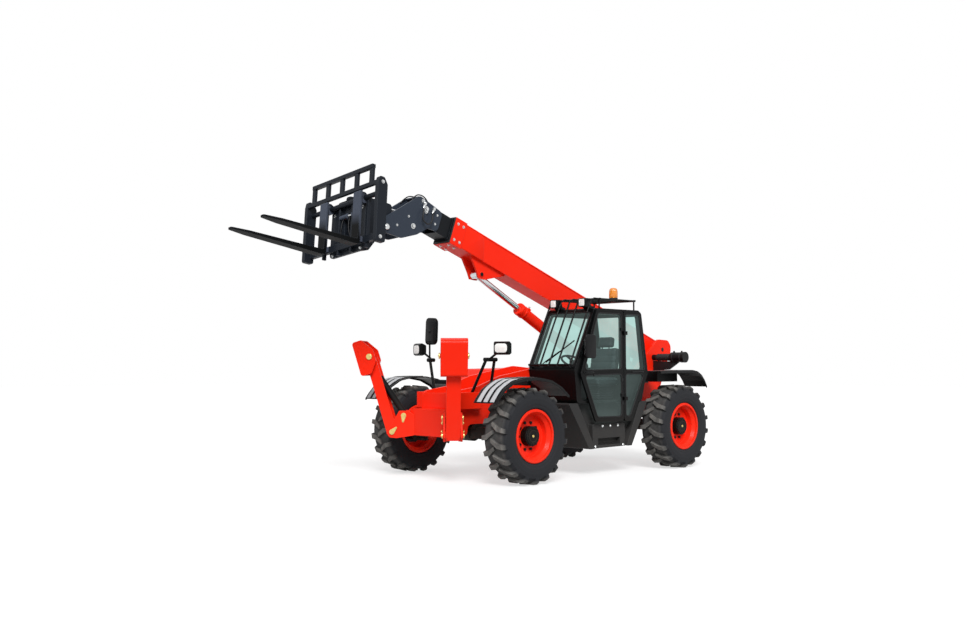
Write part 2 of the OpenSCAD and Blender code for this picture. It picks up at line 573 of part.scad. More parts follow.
module boom_inner() color("#1d1e20") at_row() at_boom() {
  difference() {
    union() {
      box_tube(tube3, boom_wall, 300, 4935);
      shoes(tube3, tube2, 300, 460);
      for (s = [-1, 1]) plate(rounded(head_pts, 60), s > 0 ? tube3[0] / 2 - 1 : -tube3[0] / 2 - 24,
        s > 0 ? tube3[0] / 2 + 24 : 1 - tube3[0] / 2);
      plate(strip([4990, 150], [5212, 171], -24, -4, 0), -tube3[0] / 2, tube3[0] / 2);
    }
    block([4800, -tube3[0] / 2 + boom_wall, -tube3[1] / 2 - 10], [4940, tube3[0] / 2 - boom_wall, -60]);
  }
  y_rod(head_u, head_n, 38, -tube3[0] / 2 - 34, tube3[0] / 2 + 34);
  y_rod(tilt_base[0], tilt_base[1], 20, -tube3[0] / 2 + 2, tube3[0] / 2 - 2);
}

// Cylinders
module lift_barrel() color("#c8201c") at_row() at_lift() difference() {
  union() {
    y_rod(0, 0, 72, -62, 62);
    x_rod(0, 0, 78, 40, lift_barrel_len - 60);
    x_rod(0, 0, 86, lift_barrel_len - 120, lift_barrel_len);
  }
  y_bore(0, 0, 35 + run, -62, 62);
  x_rod(0, 0, 62, 120, lift_barrel_len - 100);
  x_rod(0, 0, 42 + run, lift_barrel_len - 110, lift_barrel_len + 1);
}
module lift_rod() color("#c9ccd0") at_row() at_lift() difference() {
  union() {
    x_rod(0, 0, 42, lift_barrel_len - 855, lift_len - 40);
    x_rod(0, 0, 62 - run, lift_barrel_len - 855, lift_barrel_len - 745);
    y_rod(lift_len, 0, 52, -56, 56);
  }
  y_bore(lift_len, 0, 34 + run, -56, 56);
}
module tilt_barrel() color("#1d1e20") at_row() at_tilt() difference() {
  union() {
    y_rod(0, 0, 40, -40, 40);
    x_rod(0, 0, 46, 25, tilt_barrel_len);
  }
  y_bore(0, 0, 20 + run, -40, 40);
  x_rod(0, 0, 37, 70, tilt_barrel_len - 40);
  x_rod(0, 0, 25 + run, tilt_barrel_len - 50, tilt_barrel_len + 1);
}
module tilt_rod() color("#c9ccd0") at_row() at_tilt() difference() {
  union() {
    x_rod(0, 0, 25, 160, tilt_len - 25);
    x_rod(0, 0, 37 - run, 160, 200);
    y_rod(tilt_len, 0, 38, -38, 38);
  }
  y_bore(tilt_len, 0, 22 + run, -38, 38);
}

// Fork carriage
hitch_pts = [[-64, -50], [-50, -66], [40, -84], [200, -330], [458, -420], [458, 290], [380, 300], [20, 300],
  [-70, 296], [-78, 200], [-66, 60]];
rail_z = 245;
shaft_a = 515;
shaft_z = 165;
rest_half = frame_half - 160;
module carriage() color("#2a2b2d") at_row() {
  at_forks() difference() {
    for (s = [-1, 1]) plate(rounded(hitch_pts, 40), s > 0 ? 70 : -104, s > 0 ? 104 : -70);
    y_bore(0, 0, 38 + run, -104, 104);
  }
  at_forks() for (s = [-1, 1])
    y_rod(tilt_local[0], tilt_local[1], 22, s > 0 ? 44 : -104, s > 0 ? 104 : -44);
  at_frame() {
    difference() {
      x_plate(rounded([[-330, -440], [330, -440], [330, 130], [200, 240], [-200, 240], [-330, 130]], 50), 440, 470);
      x_plate(rounded([[-60, -230], [60, -230], [60, 60], [-60, 60]], 30), 430, 480);
    }
    y_rod(shaft_a, shaft_z, 30, -frame_half + 20, frame_half - 20);
    block([469, -frame_half + 30, heel_up - 440], [520, frame_half - 30, heel_up - 360]);
    both() plate(rounded([[470, -440], [600, -440], [606, 250], [590, 330], [520, 330], [470, 250]], 25),
      frame_half - 56, frame_half);
    block([560, -frame_half + 30, rail_z], [600, frame_half - 30, rail_z + 46]);
    both() for (y = [fork_y - 220, fork_y + 70]) block([468, y, -440], [512, y + 28, shaft_z]);
    for (i = [0 : 4]) block([562, rest_half * (i - 2) / 2 - 28, rail_z + 40], [598, rest_half * (i - 2) / 2 + 28, 500]);
    block([556, -rest_half - 28, 460], [604, rest_half + 28, 506]);
  }
}
// Fork blade, shank and hook from one bent bar, tip tapered in both views
fork_pts = [[560, 238], [560, heel_up - 430], [580, heel_up - 470], [640, heel_up - 478],
  [606 + fork_len, heel_up - 446], [606 + fork_len, heel_up - 424], [606, heel_up - 416], [606, 238]];
module forks() color("#2a2b2d") at_row() at_frame() both() difference() {
  union() {
    intersection() {
      plate(rounded(fork_pts, 22), fork_y - fork_w / 2, fork_y + fork_w / 2);
      translate([0, fork_y, -500]) linear_extrude(800) polygon(rounded([[550, -fork_w / 2],
        [380 + fork_len, -fork_w / 2], [606 + fork_len, -fork_w / 4], [606 + fork_len, fork_w / 4],
        [380 + fork_len, fork_w / 2], [550, fork_w / 2]], 40));
    }
    plate(rounded([[478, shaft_z - 50], [562, shaft_z - 80], [562, shaft_z + 66], [520, shaft_z + 66],
      [478, shaft_z + 40]], 30), fork_y - 44, fork_y + 44);
    block([522, fork_y - 44, heel_up - 430], [562, fork_y + 44, heel_up - 370]);
  }
  y_bore(shaft_a, shaft_z, 30 + run, 0, fork_y + 100);
}

// Stands
arm_pts = [[-62, -60], [62, -60], [76, 0], [76, 960], [50, 1060], [-30, 1060], [-62, 960]];
module stand_arm() {
  difference() {
    for (s = [-1, 1]) x_plate(rounded(arm_pts, 34), s > 0 ? 66 : -87, s > 0 ? 87 : -66);
    x_rod(0, 0, 35 + run, -100, 100);
    x_rod(0, stand_len, 28 + run, -100, 100);
  }
  block([-67, 60, -40], [67, 76, 950]);
  for (s = [-1, 1]) x_rod(0, stand_eye_z, 22, s > 0 ? 40 : -80, s > 0 ? 80 : -40);
}
// Foot: folded plate open towards the arm
pad_pts = [[-70, 70], [-70, -70], [30, -215], [172, -215], [172, 235], [40, 235]];
pad_half = 160;
module stand_pad() translate([0, 0, stand_len]) {
  difference() {
    x_plate(rounded(pad_pts, 36), -pad_half, pad_half);
    x_plate(rounded([[-200, -260], [150, -260], [150, 217], [-200, 217]], 14), 16 - pad_half, pad_half - 16);
  }
  for (s = [-1, 1]) x_rod(0, 0, 28, s > 0 ? 62 : -pad_half - 8, s > 0 ? pad_half + 8 : -62);
}
module stand_barrel() difference() {
  union() {
    x_rod(0, 0, 40, -34, 34);
    translate([0, 0, 25]) cylinder(r = 42, h = stand_barrel_len - 25);
  }
  x_rod(0, 0, 22 + run, -50, 50);
  translate([0, 0, 60]) cylinder(r = 33, h = stand_barrel_len - 100);
  translate([0, 0, stand_barrel_len - 50]) cylinder(r = 22 + run, h = 60);
}
module stand_rod() difference() {
  union() {
    translate([0, 0, 66]) cylinder(r = 22, h = stand_cyl - 86);
    translate([0, 0, 66]) cylinder(r = 33 - run, h = 34);
    x_rod(0, stand_cyl, 36, -34, 34);
  }
  x_rod(0, stand_cyl, 22 + run, -50, 50);
}
module stand_arm_l() color("#c8201c") at_row() at_arm() stand_arm();
module stand_arm_r() color("#c8201c") at_row() mirrored() at_arm() stand_arm();
module stand_pad_l() color("#c8201c") at_row() at_arm() stand_pad();
module stand_pad_r() color("#c8201c") at_row() mirrored() at_arm() stand_pad();
module stand_barrel_l() color("#1d1e20") at_row() at_stand_cyl() stand_barrel();
module stand_barrel_r() color("#1d1e20") at_row() mirrored() at_stand_cyl() stand_barrel();
module stand_rod_l() color("#c9ccd0") at_row() at_stand_cyl() stand_rod();
module stand_rod_r() color("#c9ccd0") at_row() mirrored() at_stand_cyl() stand_rod();

chassis();
stand_beam();
counterweight();
engine_hood();
engine_block();
front_axle();
rear_axle();
knuckle_fl();
knuckle_fr();
knuckle_rl();
knuckle_rr();
hub_fl();
hub_fr();
hub_rl();
hub_rr();
rim_fl();
rim_fr();
rim_rl();
rim_rr();
tyre_fl();
tyre_fr();
tyre_rl();
tyre_rr();
fenders();
air_cleaner();
cab_base();
cab_frame();
cab_glass();
cab_guard();
beacon();
lamps();
lamp_stands();
seat();
console();
door();
door_glass();
side_mirror();
boom_outer();
boom_mid();
boom_inner();
lift_barrel();
lift_rod();
tilt_barrel();
tilt_rod();
carriage();
forks();
stand_arm_l();
stand_arm_r();
stand_pad_l();
stand_pad_r();
stand_barrel_l();
stand_barrel_r();
stand_rod_l();
stand_rod_r();
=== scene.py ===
# %% [markdown]
# A telehandler, dressed for the camera.
# The solids come in as a frame in metres, and every piece made here rides on one of its bodies, so
# that the boom, the stands, the door and the wheels can still move. The solids keep the outline.
# What is added is what shows one step closer: bolts, seals, hoses, lenses, upholstery and finishes.

# %% Load the frame
import math

import bmesh
import bpy
from mathutils import Matrix, Vector


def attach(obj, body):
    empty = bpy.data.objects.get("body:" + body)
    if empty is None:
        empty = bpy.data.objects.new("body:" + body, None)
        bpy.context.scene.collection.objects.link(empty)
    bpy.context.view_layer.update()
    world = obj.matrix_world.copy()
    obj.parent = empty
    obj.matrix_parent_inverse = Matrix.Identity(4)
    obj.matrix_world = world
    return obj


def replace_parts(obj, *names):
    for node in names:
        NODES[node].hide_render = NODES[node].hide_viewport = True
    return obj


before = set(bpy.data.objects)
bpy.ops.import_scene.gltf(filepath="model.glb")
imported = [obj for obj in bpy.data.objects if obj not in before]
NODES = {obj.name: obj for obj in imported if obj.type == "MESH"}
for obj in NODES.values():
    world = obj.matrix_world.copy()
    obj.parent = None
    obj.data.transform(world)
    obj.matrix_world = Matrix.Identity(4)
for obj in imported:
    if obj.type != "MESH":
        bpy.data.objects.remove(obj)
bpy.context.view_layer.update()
print("solids in the frame:", len(NODES))

# %% [markdown]
# The drawing of the machine is in millimetres from the rear axle. Details could be placed in the
# frame's metres one by one, but one matrix for the machine and more for the boom, the fork carriage,
# the stands and the wheels let each detail be written as a maker would measure it on that piece.

# %% Places on the machine
REAR_AXLE_X_M = -2.6322
WHEELBASE, HALF_TRACK, AXLE_Z = 3070, 1080, 590
BOOM_PIVOT, BOOM_ANGLE = (-880, 0, 1640), 19.7
FORK_PIN, FORK_TILT, CARRIAGE_LEAN = (5560, 0, -420), 11.7, 6
STAND_HINGE, STAND_TOE, STAND_LEAN = (3800, 570, 600), -40, -17
MIRROR_Y = Matrix.Scale(-1, 4, (0, 1, 0))


def moved(x, y, z):
    return Matrix.Translation((x, y, z))


def turned(degrees, axis):
    return Matrix.Rotation(math.radians(degrees), 4, axis)


BASE = moved(REAR_AXLE_X_M, 0, 0) @ Matrix.Scale(0.001, 4)
BOOM = BASE @ moved(*BOOM_PIVOT) @ turned(-BOOM_ANGLE, "Y")
FORKS = BOOM @ moved(*FORK_PIN) @ turned(FORK_TILT, "Y")
CARRIAGE = FORKS @ turned(CARRIAGE_LEAN, "X")
STANDS = {"l": BASE @ moved(*STAND_HINGE) @ turned(STAND_TOE, "Z"),
          "r": BASE @ MIRROR_Y @ moved(*STAND_HINGE) @ turned(STAND_TOE, "Z")}
ARMS = {side: place @ turned(STAND_LEAN, "X") for side, place in STANDS.items()}
WHEELS = {}
for name, x, sign in (("fl", WHEELBASE, 1), ("fr", WHEELBASE, -1), ("rl", 0, 1), ("rr", 0, -1)):
    WHEELS[name] = BASE @ moved(x, sign * HALF_TRACK, AXLE_Z) @ turned(0 if sign > 0 else 180, "Z")
print("boom head at", [round(v, 3) for v in FORKS.translation])

# %% [markdown]
# Camera first, so that every later choice can be judged in the picture. The photograph was fitted with
# the wheels as the scale, which gives a camera at eye height in front of the left corner, looking
# slightly up.

# %% Camera
CAMERA_PLACE_M = (9.448, 9.784, 1.440)
CAMERA_TILT, CAMERA_TURN = 93.209, -223.654
camera = bpy.data.objects.new("camera", bpy.data.cameras.new("camera"))
camera.location = CAMERA_PLACE_M
camera.rotation_euler = (math.radians(CAMERA_TILT), 0, math.radians(CAMERA_TURN))
camera.data.sensor_width = 36.0
camera.data.lens = 37.906
camera.data.clip_end = 200
bpy.context.scene.collection.objects.link(camera)
bpy.context.scene.camera = camera
bpy.context.scene.view_settings.view_transform = "Standard"
print("camera lens in millimetres:", round(camera.data.lens, 2))

# %% [markdown]
# Colours are written as they look on a screen and turned to linear light by one function, because
# shaders count in linear light. One more function adds a shader node, sets it up and links it, so
# that a finish reads as a list of what it is made of.

# %% Node tools


def linear(hex_colour):
    """Screen colour such as #e02a1a to linear light, opaque."""
    parts = [int(hex_colour[i:i + 2], 16) / 255 for i in (1, 3, 5)]
    return [c / 12.92 if c <= 0.04045 else ((c + 0.055) / 1.055) ** 2.4 for c in parts] + [1.0]


def add(tree, kind, inputs=None, **settings):
    """A shader node with its settings, values and links."""
    made = tree.nodes.new(kind)
    for key, value in settings.items():
        setattr(made, key, value)
    for key, value in (inputs or {}).items():
        if isinstance(value, bpy.types.NodeSocket):
            tree.links.new(value, made.inputs[key])
        else:
            made.inputs[key].default_value = value
    return made


def bare(name, colour, roughness, metallic=0.0, **sockets):
    """An empty finish with one Principled shader; returns the material, its tree and the shader."""
    material = bpy.data.materials.new(name)
    material.use_nodes = True
    tree = material.node_tree
    shader = tree.nodes["Principled BSDF"]
    shader.inputs["Base Color"].default_value = linear(colour)
    shader.inputs["Roughness"].default_value = roughness
    shader.inputs["Metallic"].default_value = metallic
    for key, value in sockets.items():
        shader.inputs[key.replace("_", " ")].default_value = value
    material.diffuse_color = linear(colour)
    return material, tree, shader


# %% [markdown]
# Sprayed two-pack enamel covers most of the steel. Close up it has orange peel a few millimetres wide,
# it is a little uneven in colour over a metre, and dust settles on what is near the ground. Edges could
# be bevelled in the mesh, but the solids stay as they are, so the bevel node rounds them for the light,
# as a coat of paint does. The same node finds the edges, which are painted paler: a painted highlight
# along each edge, and thinner paint there too.

# %% Sprayed enamel
PEEL_MM = 9.0  # real peel is about 3 mm; drawn coarser, or it would not show at all
CLOUD_MM = 700.0
DUST_MM = 110.0
COAT_EDGE_MM = 6.0
DUST_TONE, DUSTY_BELOW_M, CLEAN_ABOVE_M = "#8a7a66", 0.2, 1.1
PAINT_SHINE = 0.08  # a white room all round would wash out the colour of a shinier coat


def enamel(name, colour, dark, pale, roughness, coat, dust, zone=None):
    """Sprayed paint; a zone is a direction, two places along it in metres and the colour past them."""
    material, tree, shader = bare(name, colour, roughness, Coat_Weight=coat, Coat_Roughness=0.12,
                                  Specular_IOR_Level=PAINT_SHINE)
    where = add(tree, "ShaderNodeTexCoord").outputs["Object"]
    cloud = add(tree, "ShaderNodeTexNoise", {"Vector": where, "Scale": 1000 / CLOUD_MM, "Detail": 3.0})
    body = add(tree, "ShaderNodeMix", {"Factor": cloud.outputs["Fac"], "A": linear(colour),
                                       "B": linear(dark)}, data_type="RGBA")
    if zone:
        way, start, stop, other = zone
        along = add(tree, "ShaderNodeVectorMath", {0: where, 1: way}, operation="DOT_PRODUCT")
        past = add(tree, "ShaderNodeMapRange", {"Value": along.outputs["Value"], "From Min": start,
                                                "From Max": stop})
        body = add(tree, "ShaderNodeMix", {"Factor": past.outputs["Result"], "A": body.outputs["Result"],
                                           "B": linear(other)}, data_type="RGBA")
    soft = add(tree, "ShaderNodeBevel", {"Radius": COAT_EDGE_MM / 1000}, samples=4)
    true = add(tree, "ShaderNodeNewGeometry")
    bend = add(tree, "ShaderNodeVectorMath", {0: soft.outputs["Normal"], 1: true.outputs["Normal"]},
               operation="DOT_PRODUCT")
    # Edges are painted paler: a painted highlight along every edge, and thinner paint there too.
    edge = add(tree, "ShaderNodeMapRange", {"Value": bend.outputs["Value"], "From Min": 0.99, "From Max": 0.8,
                                            "To Min": 0.0, "To Max": 0.45})
    edge_highlight_and_wear = add(tree, "ShaderNodeMix", {"Factor": edge.outputs["Result"], "A": body.outputs["Result"],
                                       "B": linear(pale)}, data_type="RGBA")
    height = add(tree, "ShaderNodeSeparateXYZ", {"Vector": where})
    low = add(tree, "ShaderNodeMapRange", {"Value": height.outputs["Z"], "From Min": DUSTY_BELOW_M,
                                           "From Max": CLEAN_ABOVE_M, "To Min": dust, "To Max": 0.0})
    specks = add(tree, "ShaderNodeTexNoise", {"Vector": where, "Scale": 1000 / DUST_MM, "Detail": 6.0})
    settled = add(tree, "ShaderNodeMath", {0: low.outputs["Result"], 1: specks.outputs["Fac"]},
                  operation="MULTIPLY")
    dust_and_painted_veil = add(tree, "ShaderNodeMix", {"Factor": settled.outputs["Value"], "A": edge_highlight_and_wear.outputs["Result"],
                                        "B": linear(DUST_TONE)}, data_type="RGBA")
    tree.links.new(dust_and_painted_veil.outputs["Result"], shader.inputs["Base Color"])
    gloss = add(tree, "ShaderNodeMapRange", {"Value": specks.outputs["Fac"], "To Min": roughness - 0.06,
                                             "To Max": roughness + 0.08})
    tree.links.new(gloss.outputs["Result"], shader.inputs["Roughness"])
    peel = add(tree, "ShaderNodeTexNoise", {"Vector": where, "Scale": 1000 / PEEL_MM, "Detail": 1.0})
    bump = add(tree, "ShaderNodeBump", {"Height": peel.outputs["Fac"], "Strength": 0.05, "Distance": 0.002,
                                        "Normal": soft.outputs["Normal"]})
    tree.links.new(bump.outputs["Normal"], shader.inputs["Normal"])
    return material


# %% [markdown]
# The machine has few paints. The inner boom has two of them: its sliding tube is nearly black and its
# head is graphite. The tube's near black is partly its own dark paint and partly painted shade. It is one
# solid, so its paint changes along the boom where the head's plates begin.

# %% Paints
HEAD_START, HEAD_TONE = 4795, "#333a45"
BOOM_WAY = (BOOM.to_3x3() @ Vector((1, 0, 0))).normalized()


def along_boom(u):
    """Distance along the boom's direction, in the frame's metres, of a place on its axis."""
    return BOOM_WAY.dot(BOOM @ Vector((u, 0, 0)))


red = enamel("red_two_pack_enamel", "#fb2a10", "#f1240c", "#ff6a4c", 0.36, 0.04, 0.12)
graphite = enamel("graphite_two_pack_enamel", HEAD_TONE, "#2b313a", "#5c6572", 0.4, 0.06, 0.0)
frame_graphite = enamel("dark_graphite_enamel", "#1f232a", "#1a1e24", "#4a515b", 0.42, 0.05, 0.0)
# Nearly black tube: partly its own dark paint, partly painted shade.
tube_graphite = enamel("graphite_tube_enamel", "#14171b", "#101215", "#4a515b", 0.4, 0.06, 0.0,
                       zone=(BOOM_WAY, along_boom(HEAD_START), along_boom(HEAD_START + 10), HEAD_TONE))
cab_black = enamel("black_cab_enamel", "#090a0b", "#060707", "#3e4145", 0.38, 0.06, 0.05)
step_grey = enamel("grey_step_enamel", "#363636", "#2d2d2e", "#5c5d5f", 0.5, 0.0, 0.08)
axle_black = enamel("black_axle_enamel", "#121213", "#0d0d0e", "#323235", 0.5, 0.03, 0.2)
print("enamels:", len([m for m in bpy.data.materials if "enamel" in m.name]))

# %% [markdown]
# Moulded polypropylene makes the fenders, lamp housings and mirror shells. The mould is spark eroded,
# so the skin has a fine leather-like grain and a soft, broad highlight. A picture of grain would need
# its own map on every piece; cells of a Voronoi pattern in millimetres fit all of them.

# %% Moulded plastics and rubber
GRAIN_MM = 5.0  # real grain is near 1 mm; drawn coarser to show
TINT_MM = 250.0
MOULD_EDGE_MM = 8.0


def moulded(name, colour, pale, roughness, grain_mm=GRAIN_MM, strength=0.12, shine=0.3):
    """Plastic, rubber or vinyl with a grain from its mould or its embossing roll."""
    material, tree, shader = bare(name, colour, roughness, Specular_IOR_Level=shine)
    where = add(tree, "ShaderNodeTexCoord").outputs["Object"]
    grain = add(tree, "ShaderNodeTexVoronoi", {"Vector": where, "Scale": 1000 / grain_mm})
    cloud = add(tree, "ShaderNodeTexNoise", {"Vector": where, "Scale": 1000 / TINT_MM, "Detail": 5.0})
    tint = add(tree, "ShaderNodeMix", {"Factor": cloud.outputs["Fac"], "A": linear(colour),
                                       "B": linear(pale)}, data_type="RGBA")
    tree.links.new(tint.outputs["Result"], shader.inputs["Base Color"])
    soft = add(tree, "ShaderNodeBevel", {"Radius": MOULD_EDGE_MM / 1000}, samples=4)
    bump = add(tree, "ShaderNodeBump", {"Height": grain.outputs["Distance"], "Strength": strength,
                                        "Distance": 0.002, "Normal": soft.outputs["Normal"]})
    tree.links.new(bump.outputs["Normal"], shader.inputs["Normal"])
    return material


fender_plastic = moulded("black_moulded_polypropylene", "#08090a", "#101113", 0.4, shine=0.16)
# Pale grey plastic: painted highlight on the glossy fender ribs.
highlight_strip_plastic = moulded("pale_highlight_polypropylene", "#c3c7ca", "#aeb3b7", 0.3, strength=0.05)
seal_rubber = moulded("black_extruded_rubber", "#131314", "#1c1c1e", 0.6)
hose_rubber = moulded("black_hydraulic_hose", "#161617", "#222225", 0.48, grain_mm=7.0, strength=0.25)
seat_vinyl = moulded("dark_embossed_vinyl", "#22282a", "#2d3436", 0.55, grain_mm=8.0, strength=0.3)
print("grain in millimetres:", GRAIN_MM)

# %% [markdown]
# Tyre rubber is dull and slightly blue when clean. Its lugs turn paler and browner from the ground that
# they touch. The tread could be a second material, but a wheel is a disc in its own box, so the distance
# from the middle of the generated coordinates tells the tread from the side wall, and it makes the
# rings near the rim too.

# %% Tyre rubber
TYRE_M = 1.18
CLEAN_RUBBER, DUSTY_RUBBER = "#27282b", "#8d8a85"
PORE_MM = 70.0  # dirt lies in patches about a hand wide; the pores alone would not show
RING_MM = 35.0
TREAD_START_M, TREAD_FULL_M = 0.53, 0.585
RINGS_END_M, RINGS_FULL_M = 0.42, 0.36
tyre_rubber, tree, shader = bare("cured_tyre_rubber", CLEAN_RUBBER, 0.72, Specular_IOR_Level=0.14)
box_place = add(tree, "ShaderNodeTexCoord")
flat = add(tree, "ShaderNodeVectorMath", {0: box_place.outputs["Generated"], 1: (0.5, 0.5, 0.5)},
           operation="SUBTRACT")
disc = add(tree, "ShaderNodeVectorMath", {0: flat.outputs["Vector"], 1: (TYRE_M, 0.0, TYRE_M)},
           operation="MULTIPLY")
radius = add(tree, "ShaderNodeVectorMath", {0: disc.outputs["Vector"]}, operation="LENGTH").outputs["Value"]
speck = add(tree, "ShaderNodeTexNoise", {"Vector": box_place.outputs["Object"], "Scale": 1000 / PORE_MM,
                                         "Detail": 8.0})
tread = add(tree, "ShaderNodeMapRange", {"Value": radius, "From Min": TREAD_START_M,
                                         "From Max": TREAD_FULL_M})
dirt = add(tree, "ShaderNodeMath", {0: tread.outputs["Result"], 1: speck.outputs["Fac"]},
           operation="MULTIPLY")
rubber_tint = add(tree, "ShaderNodeMix", {"Factor": dirt.outputs["Value"], "A": linear(CLEAN_RUBBER),
                                          "B": linear(DUSTY_RUBBER)}, data_type="RGBA")
tree.links.new(rubber_tint.outputs["Result"], shader.inputs["Base Color"])
rings = add(tree, "ShaderNodeMath", {0: radius, 1: 2 * math.pi * 1000 / RING_MM}, operation="MULTIPLY")
wave = add(tree, "ShaderNodeMath", {0: rings.outputs["Value"]}, operation="SINE")
near_rim = add(tree, "ShaderNodeMapRange", {"Value": radius, "From Min": RINGS_END_M,
                                            "From Max": RINGS_FULL_M})
ridge = add(tree, "ShaderNodeMath", {0: wave.outputs["Value"], 1: near_rim.outputs["Result"]},
            operation="MULTIPLY")
ring_bump = add(tree, "ShaderNodeBump", {"Height": ridge.outputs["Value"], "Strength": 0.35,
                                         "Distance": 0.004})
pores = add(tree, "ShaderNodeBump", {"Height": speck.outputs["Fac"], "Strength": 0.2, "Distance": 0.003,
                                     "Normal": ring_bump.outputs["Normal"]})
tree.links.new(pores.outputs["Normal"], shader.inputs["Normal"])
print("tyre across, in metres:", TYRE_M)

# %% [markdown]
# Metals: hard chrome on the rods is polished round, and zinc on pins and bolts is dull and a little yellow
# from its passivation. Both are plain metals, so only their roughness and a faint bump vary. Forks are
# rolled steel under black paint. Their shanks are painted graphite, lighter than the black, as painted
# light for their lit faces; the blades stay black.

# %% Metals
FORK_FACE = (612, 0, -100)
FORK_FACE_X_M = (CARRIAGE @ Vector(FORK_FACE)).x


def metal(name, colour, roughness, stretch, mark_mm):
    """Bare or plated metal; the marks are drawn far coarser than real ones, or they would not show."""
    material, tree, shader = bare(name, colour, roughness, metallic=1.0)
    where = add(tree, "ShaderNodeTexCoord").outputs["Object"]
    drawn = add(tree, "ShaderNodeMapping", {"Vector": where, "Scale": stretch})
    mark = add(tree, "ShaderNodeTexNoise", {"Vector": drawn.outputs["Vector"], "Scale": 1000 / mark_mm,
                                            "Detail": 4.0})
    smooth = max(0.03, roughness - 0.08)
    gloss = add(tree, "ShaderNodeMapRange", {"Value": mark.outputs["Fac"], "To Min": smooth,
                                             "To Max": roughness + 0.1})
    tree.links.new(gloss.outputs["Result"], shader.inputs["Roughness"])
    bump = add(tree, "ShaderNodeBump", {"Height": mark.outputs["Fac"], "Strength": 0.04, "Distance": 0.001})
    tree.links.new(bump.outputs["Normal"], shader.inputs["Normal"])
    return material


chrome = metal("hard_chromed_steel", "#cfd1d3", 0.14, (6, 60, 6), 50.0)
zinc = metal("yellow_zinc_plated_steel", "#d8c27c", 0.34, (1, 1, 1), 16.0)
bright_zinc = metal("clear_zinc_plated_steel", "#d4d6d6", 0.3, (1, 1, 1), 16.0)
mirror_glass = metal("silvered_mirror_glass", "#dfe3e4", 0.04, (1, 1, 1), 330.0)
iron = enamel("grey_cast_iron_enamel", "#2e3033", "#26282a", "#4c4f53", 0.6, 0.0, 0.15)
# Graphite shanks: painted light for the lit faces of black shanks; black blades past the face.
fork_steel = enamel("black_rolled_steel_enamel", "#4a505d", "#444a56", "#5c636f", 0.55, 0.0, 0.0,
                    zone=((1, 0, 0), FORK_FACE_X_M - 0.02, FORK_FACE_X_M, "#0a0b0c"))
print("forks turn black past x =", round(FORK_FACE_X_M, 3))

# %% [markdown]
# The cab has green tinted safety glass. A refracting shader would be true but noisy behind four faces of
# glass, so a face here only tints what passes through it and adds a glowing veil: painted reflection of
# the white room. The panes beside the boom and behind the seat get a stronger painted reflection and a
# darker tint, so they show little of what is behind them.

# %% Cab glass
PANE_FACE, REFLECTING_PANE_TINT, VEIL = "#f3fbfa", "#98a4a1", "#cfe6e2"
BOOM_PANE_Y_M, REAR_PANE_X_M, SIDE_PANE_Y_M = 0.36, -1.755, 1.1
REFLECTION_PATCH_MM = 330.0
tinted, tree, _ = bare("green_tinted_safety_glass", "#b9d0c8", 0.02)
pane_place = add(tree, "ShaderNodeTexCoord").outputs["Object"]
spot = add(tree, "ShaderNodeSeparateXYZ", {"Vector": pane_place})
# Panes beside the boom and behind the seat: stronger painted reflection and a darker tint.
beside = add(tree, "ShaderNodeMath", {0: spot.outputs["Y"], 1: BOOM_PANE_Y_M}, operation="LESS_THAN")
inside = add(tree, "ShaderNodeMath", {0: spot.outputs["Y"], 1: SIDE_PANE_Y_M}, operation="LESS_THAN")
behind = add(tree, "ShaderNodeMath", {0: spot.outputs["X"], 1: REAR_PANE_X_M}, operation="LESS_THAN")
rear = add(tree, "ShaderNodeMath", {0: inside.outputs["Value"], 1: behind.outputs["Value"]},
           operation="MULTIPLY")
dust_and_painted_veil = add(tree, "ShaderNodeMath", {0: beside.outputs["Value"], 1: rear.outputs["Value"]},
            operation="MAXIMUM").outputs["Value"]
tint = add(tree, "ShaderNodeMix", {"Factor": dust_and_painted_veil, "A": linear(PANE_FACE), "B": linear(REFLECTING_PANE_TINT)},
           data_type="RGBA")
clear = add(tree, "ShaderNodeBsdfTransparent", {"Color": tint.outputs["Result"]})
veil = add(tree, "ShaderNodeMapRange", {"Value": dust_and_painted_veil, "To Min": 0.04, "To Max": 0.5})
# Patches that make the painted reflection uneven.
reflection_patches = add(tree, "ShaderNodeTexNoise", {"Vector": pane_place, "Scale": 1000 / REFLECTION_PATCH_MM, "Detail": 4.0})
uneven = add(tree, "ShaderNodeMapRange", {"Value": reflection_patches.outputs["Fac"], "To Min": 0.7, "To Max": 1.3})
level = add(tree, "ShaderNodeMath", {0: veil.outputs["Result"], 1: uneven.outputs["Result"]},
            operation="MULTIPLY")
# The glow is painted reflection of the white room.
shine = add(tree, "ShaderNodeEmission", {"Color": linear(VEIL), "Strength": level.outputs["Value"]})
pane = add(tree, "ShaderNodeAddShader", {0: clear.outputs["BSDF"], 1: shine.outputs["Emission"]})
tree.links.new(pane.outputs["Shader"], tree.nodes["Material Output"].inputs["Surface"])
print("finish:", tinted.name)

# %% [markdown]
# Lamp lenses are clear polycarbonate over a bright reflector, with upright flutes that spread the light.
# The lens and reflector together look like one pale, glossy plate, so they are made as one. The beacon is
# amber polycarbonate that lets some light in.

# %% Lenses
FLUTE_MM, GLOW_MM = 17.5, 33.0
lens, tree, shader = bare("clear_polycarbonate_lens", "#f1f1ee", 0.12, Coat_Weight=0.8, Coat_Roughness=0.03)
lens_place = add(tree, "ShaderNodeTexCoord").outputs["Object"]
# The wave node draws 10 / pi bands in a metre for each unit of its scale
flutes = add(tree, "ShaderNodeTexWave", {"Vector": lens_place, "Scale": math.pi * 100 / FLUTE_MM,
                                         "Distortion": 0.0}, bands_direction="Y")
flute_bump = add(tree, "ShaderNodeBump", {"Height": flutes.outputs["Fac"], "Strength": 0.25,
                                          "Distance": 0.004})
tree.links.new(flute_bump.outputs["Normal"], shader.inputs["Normal"])

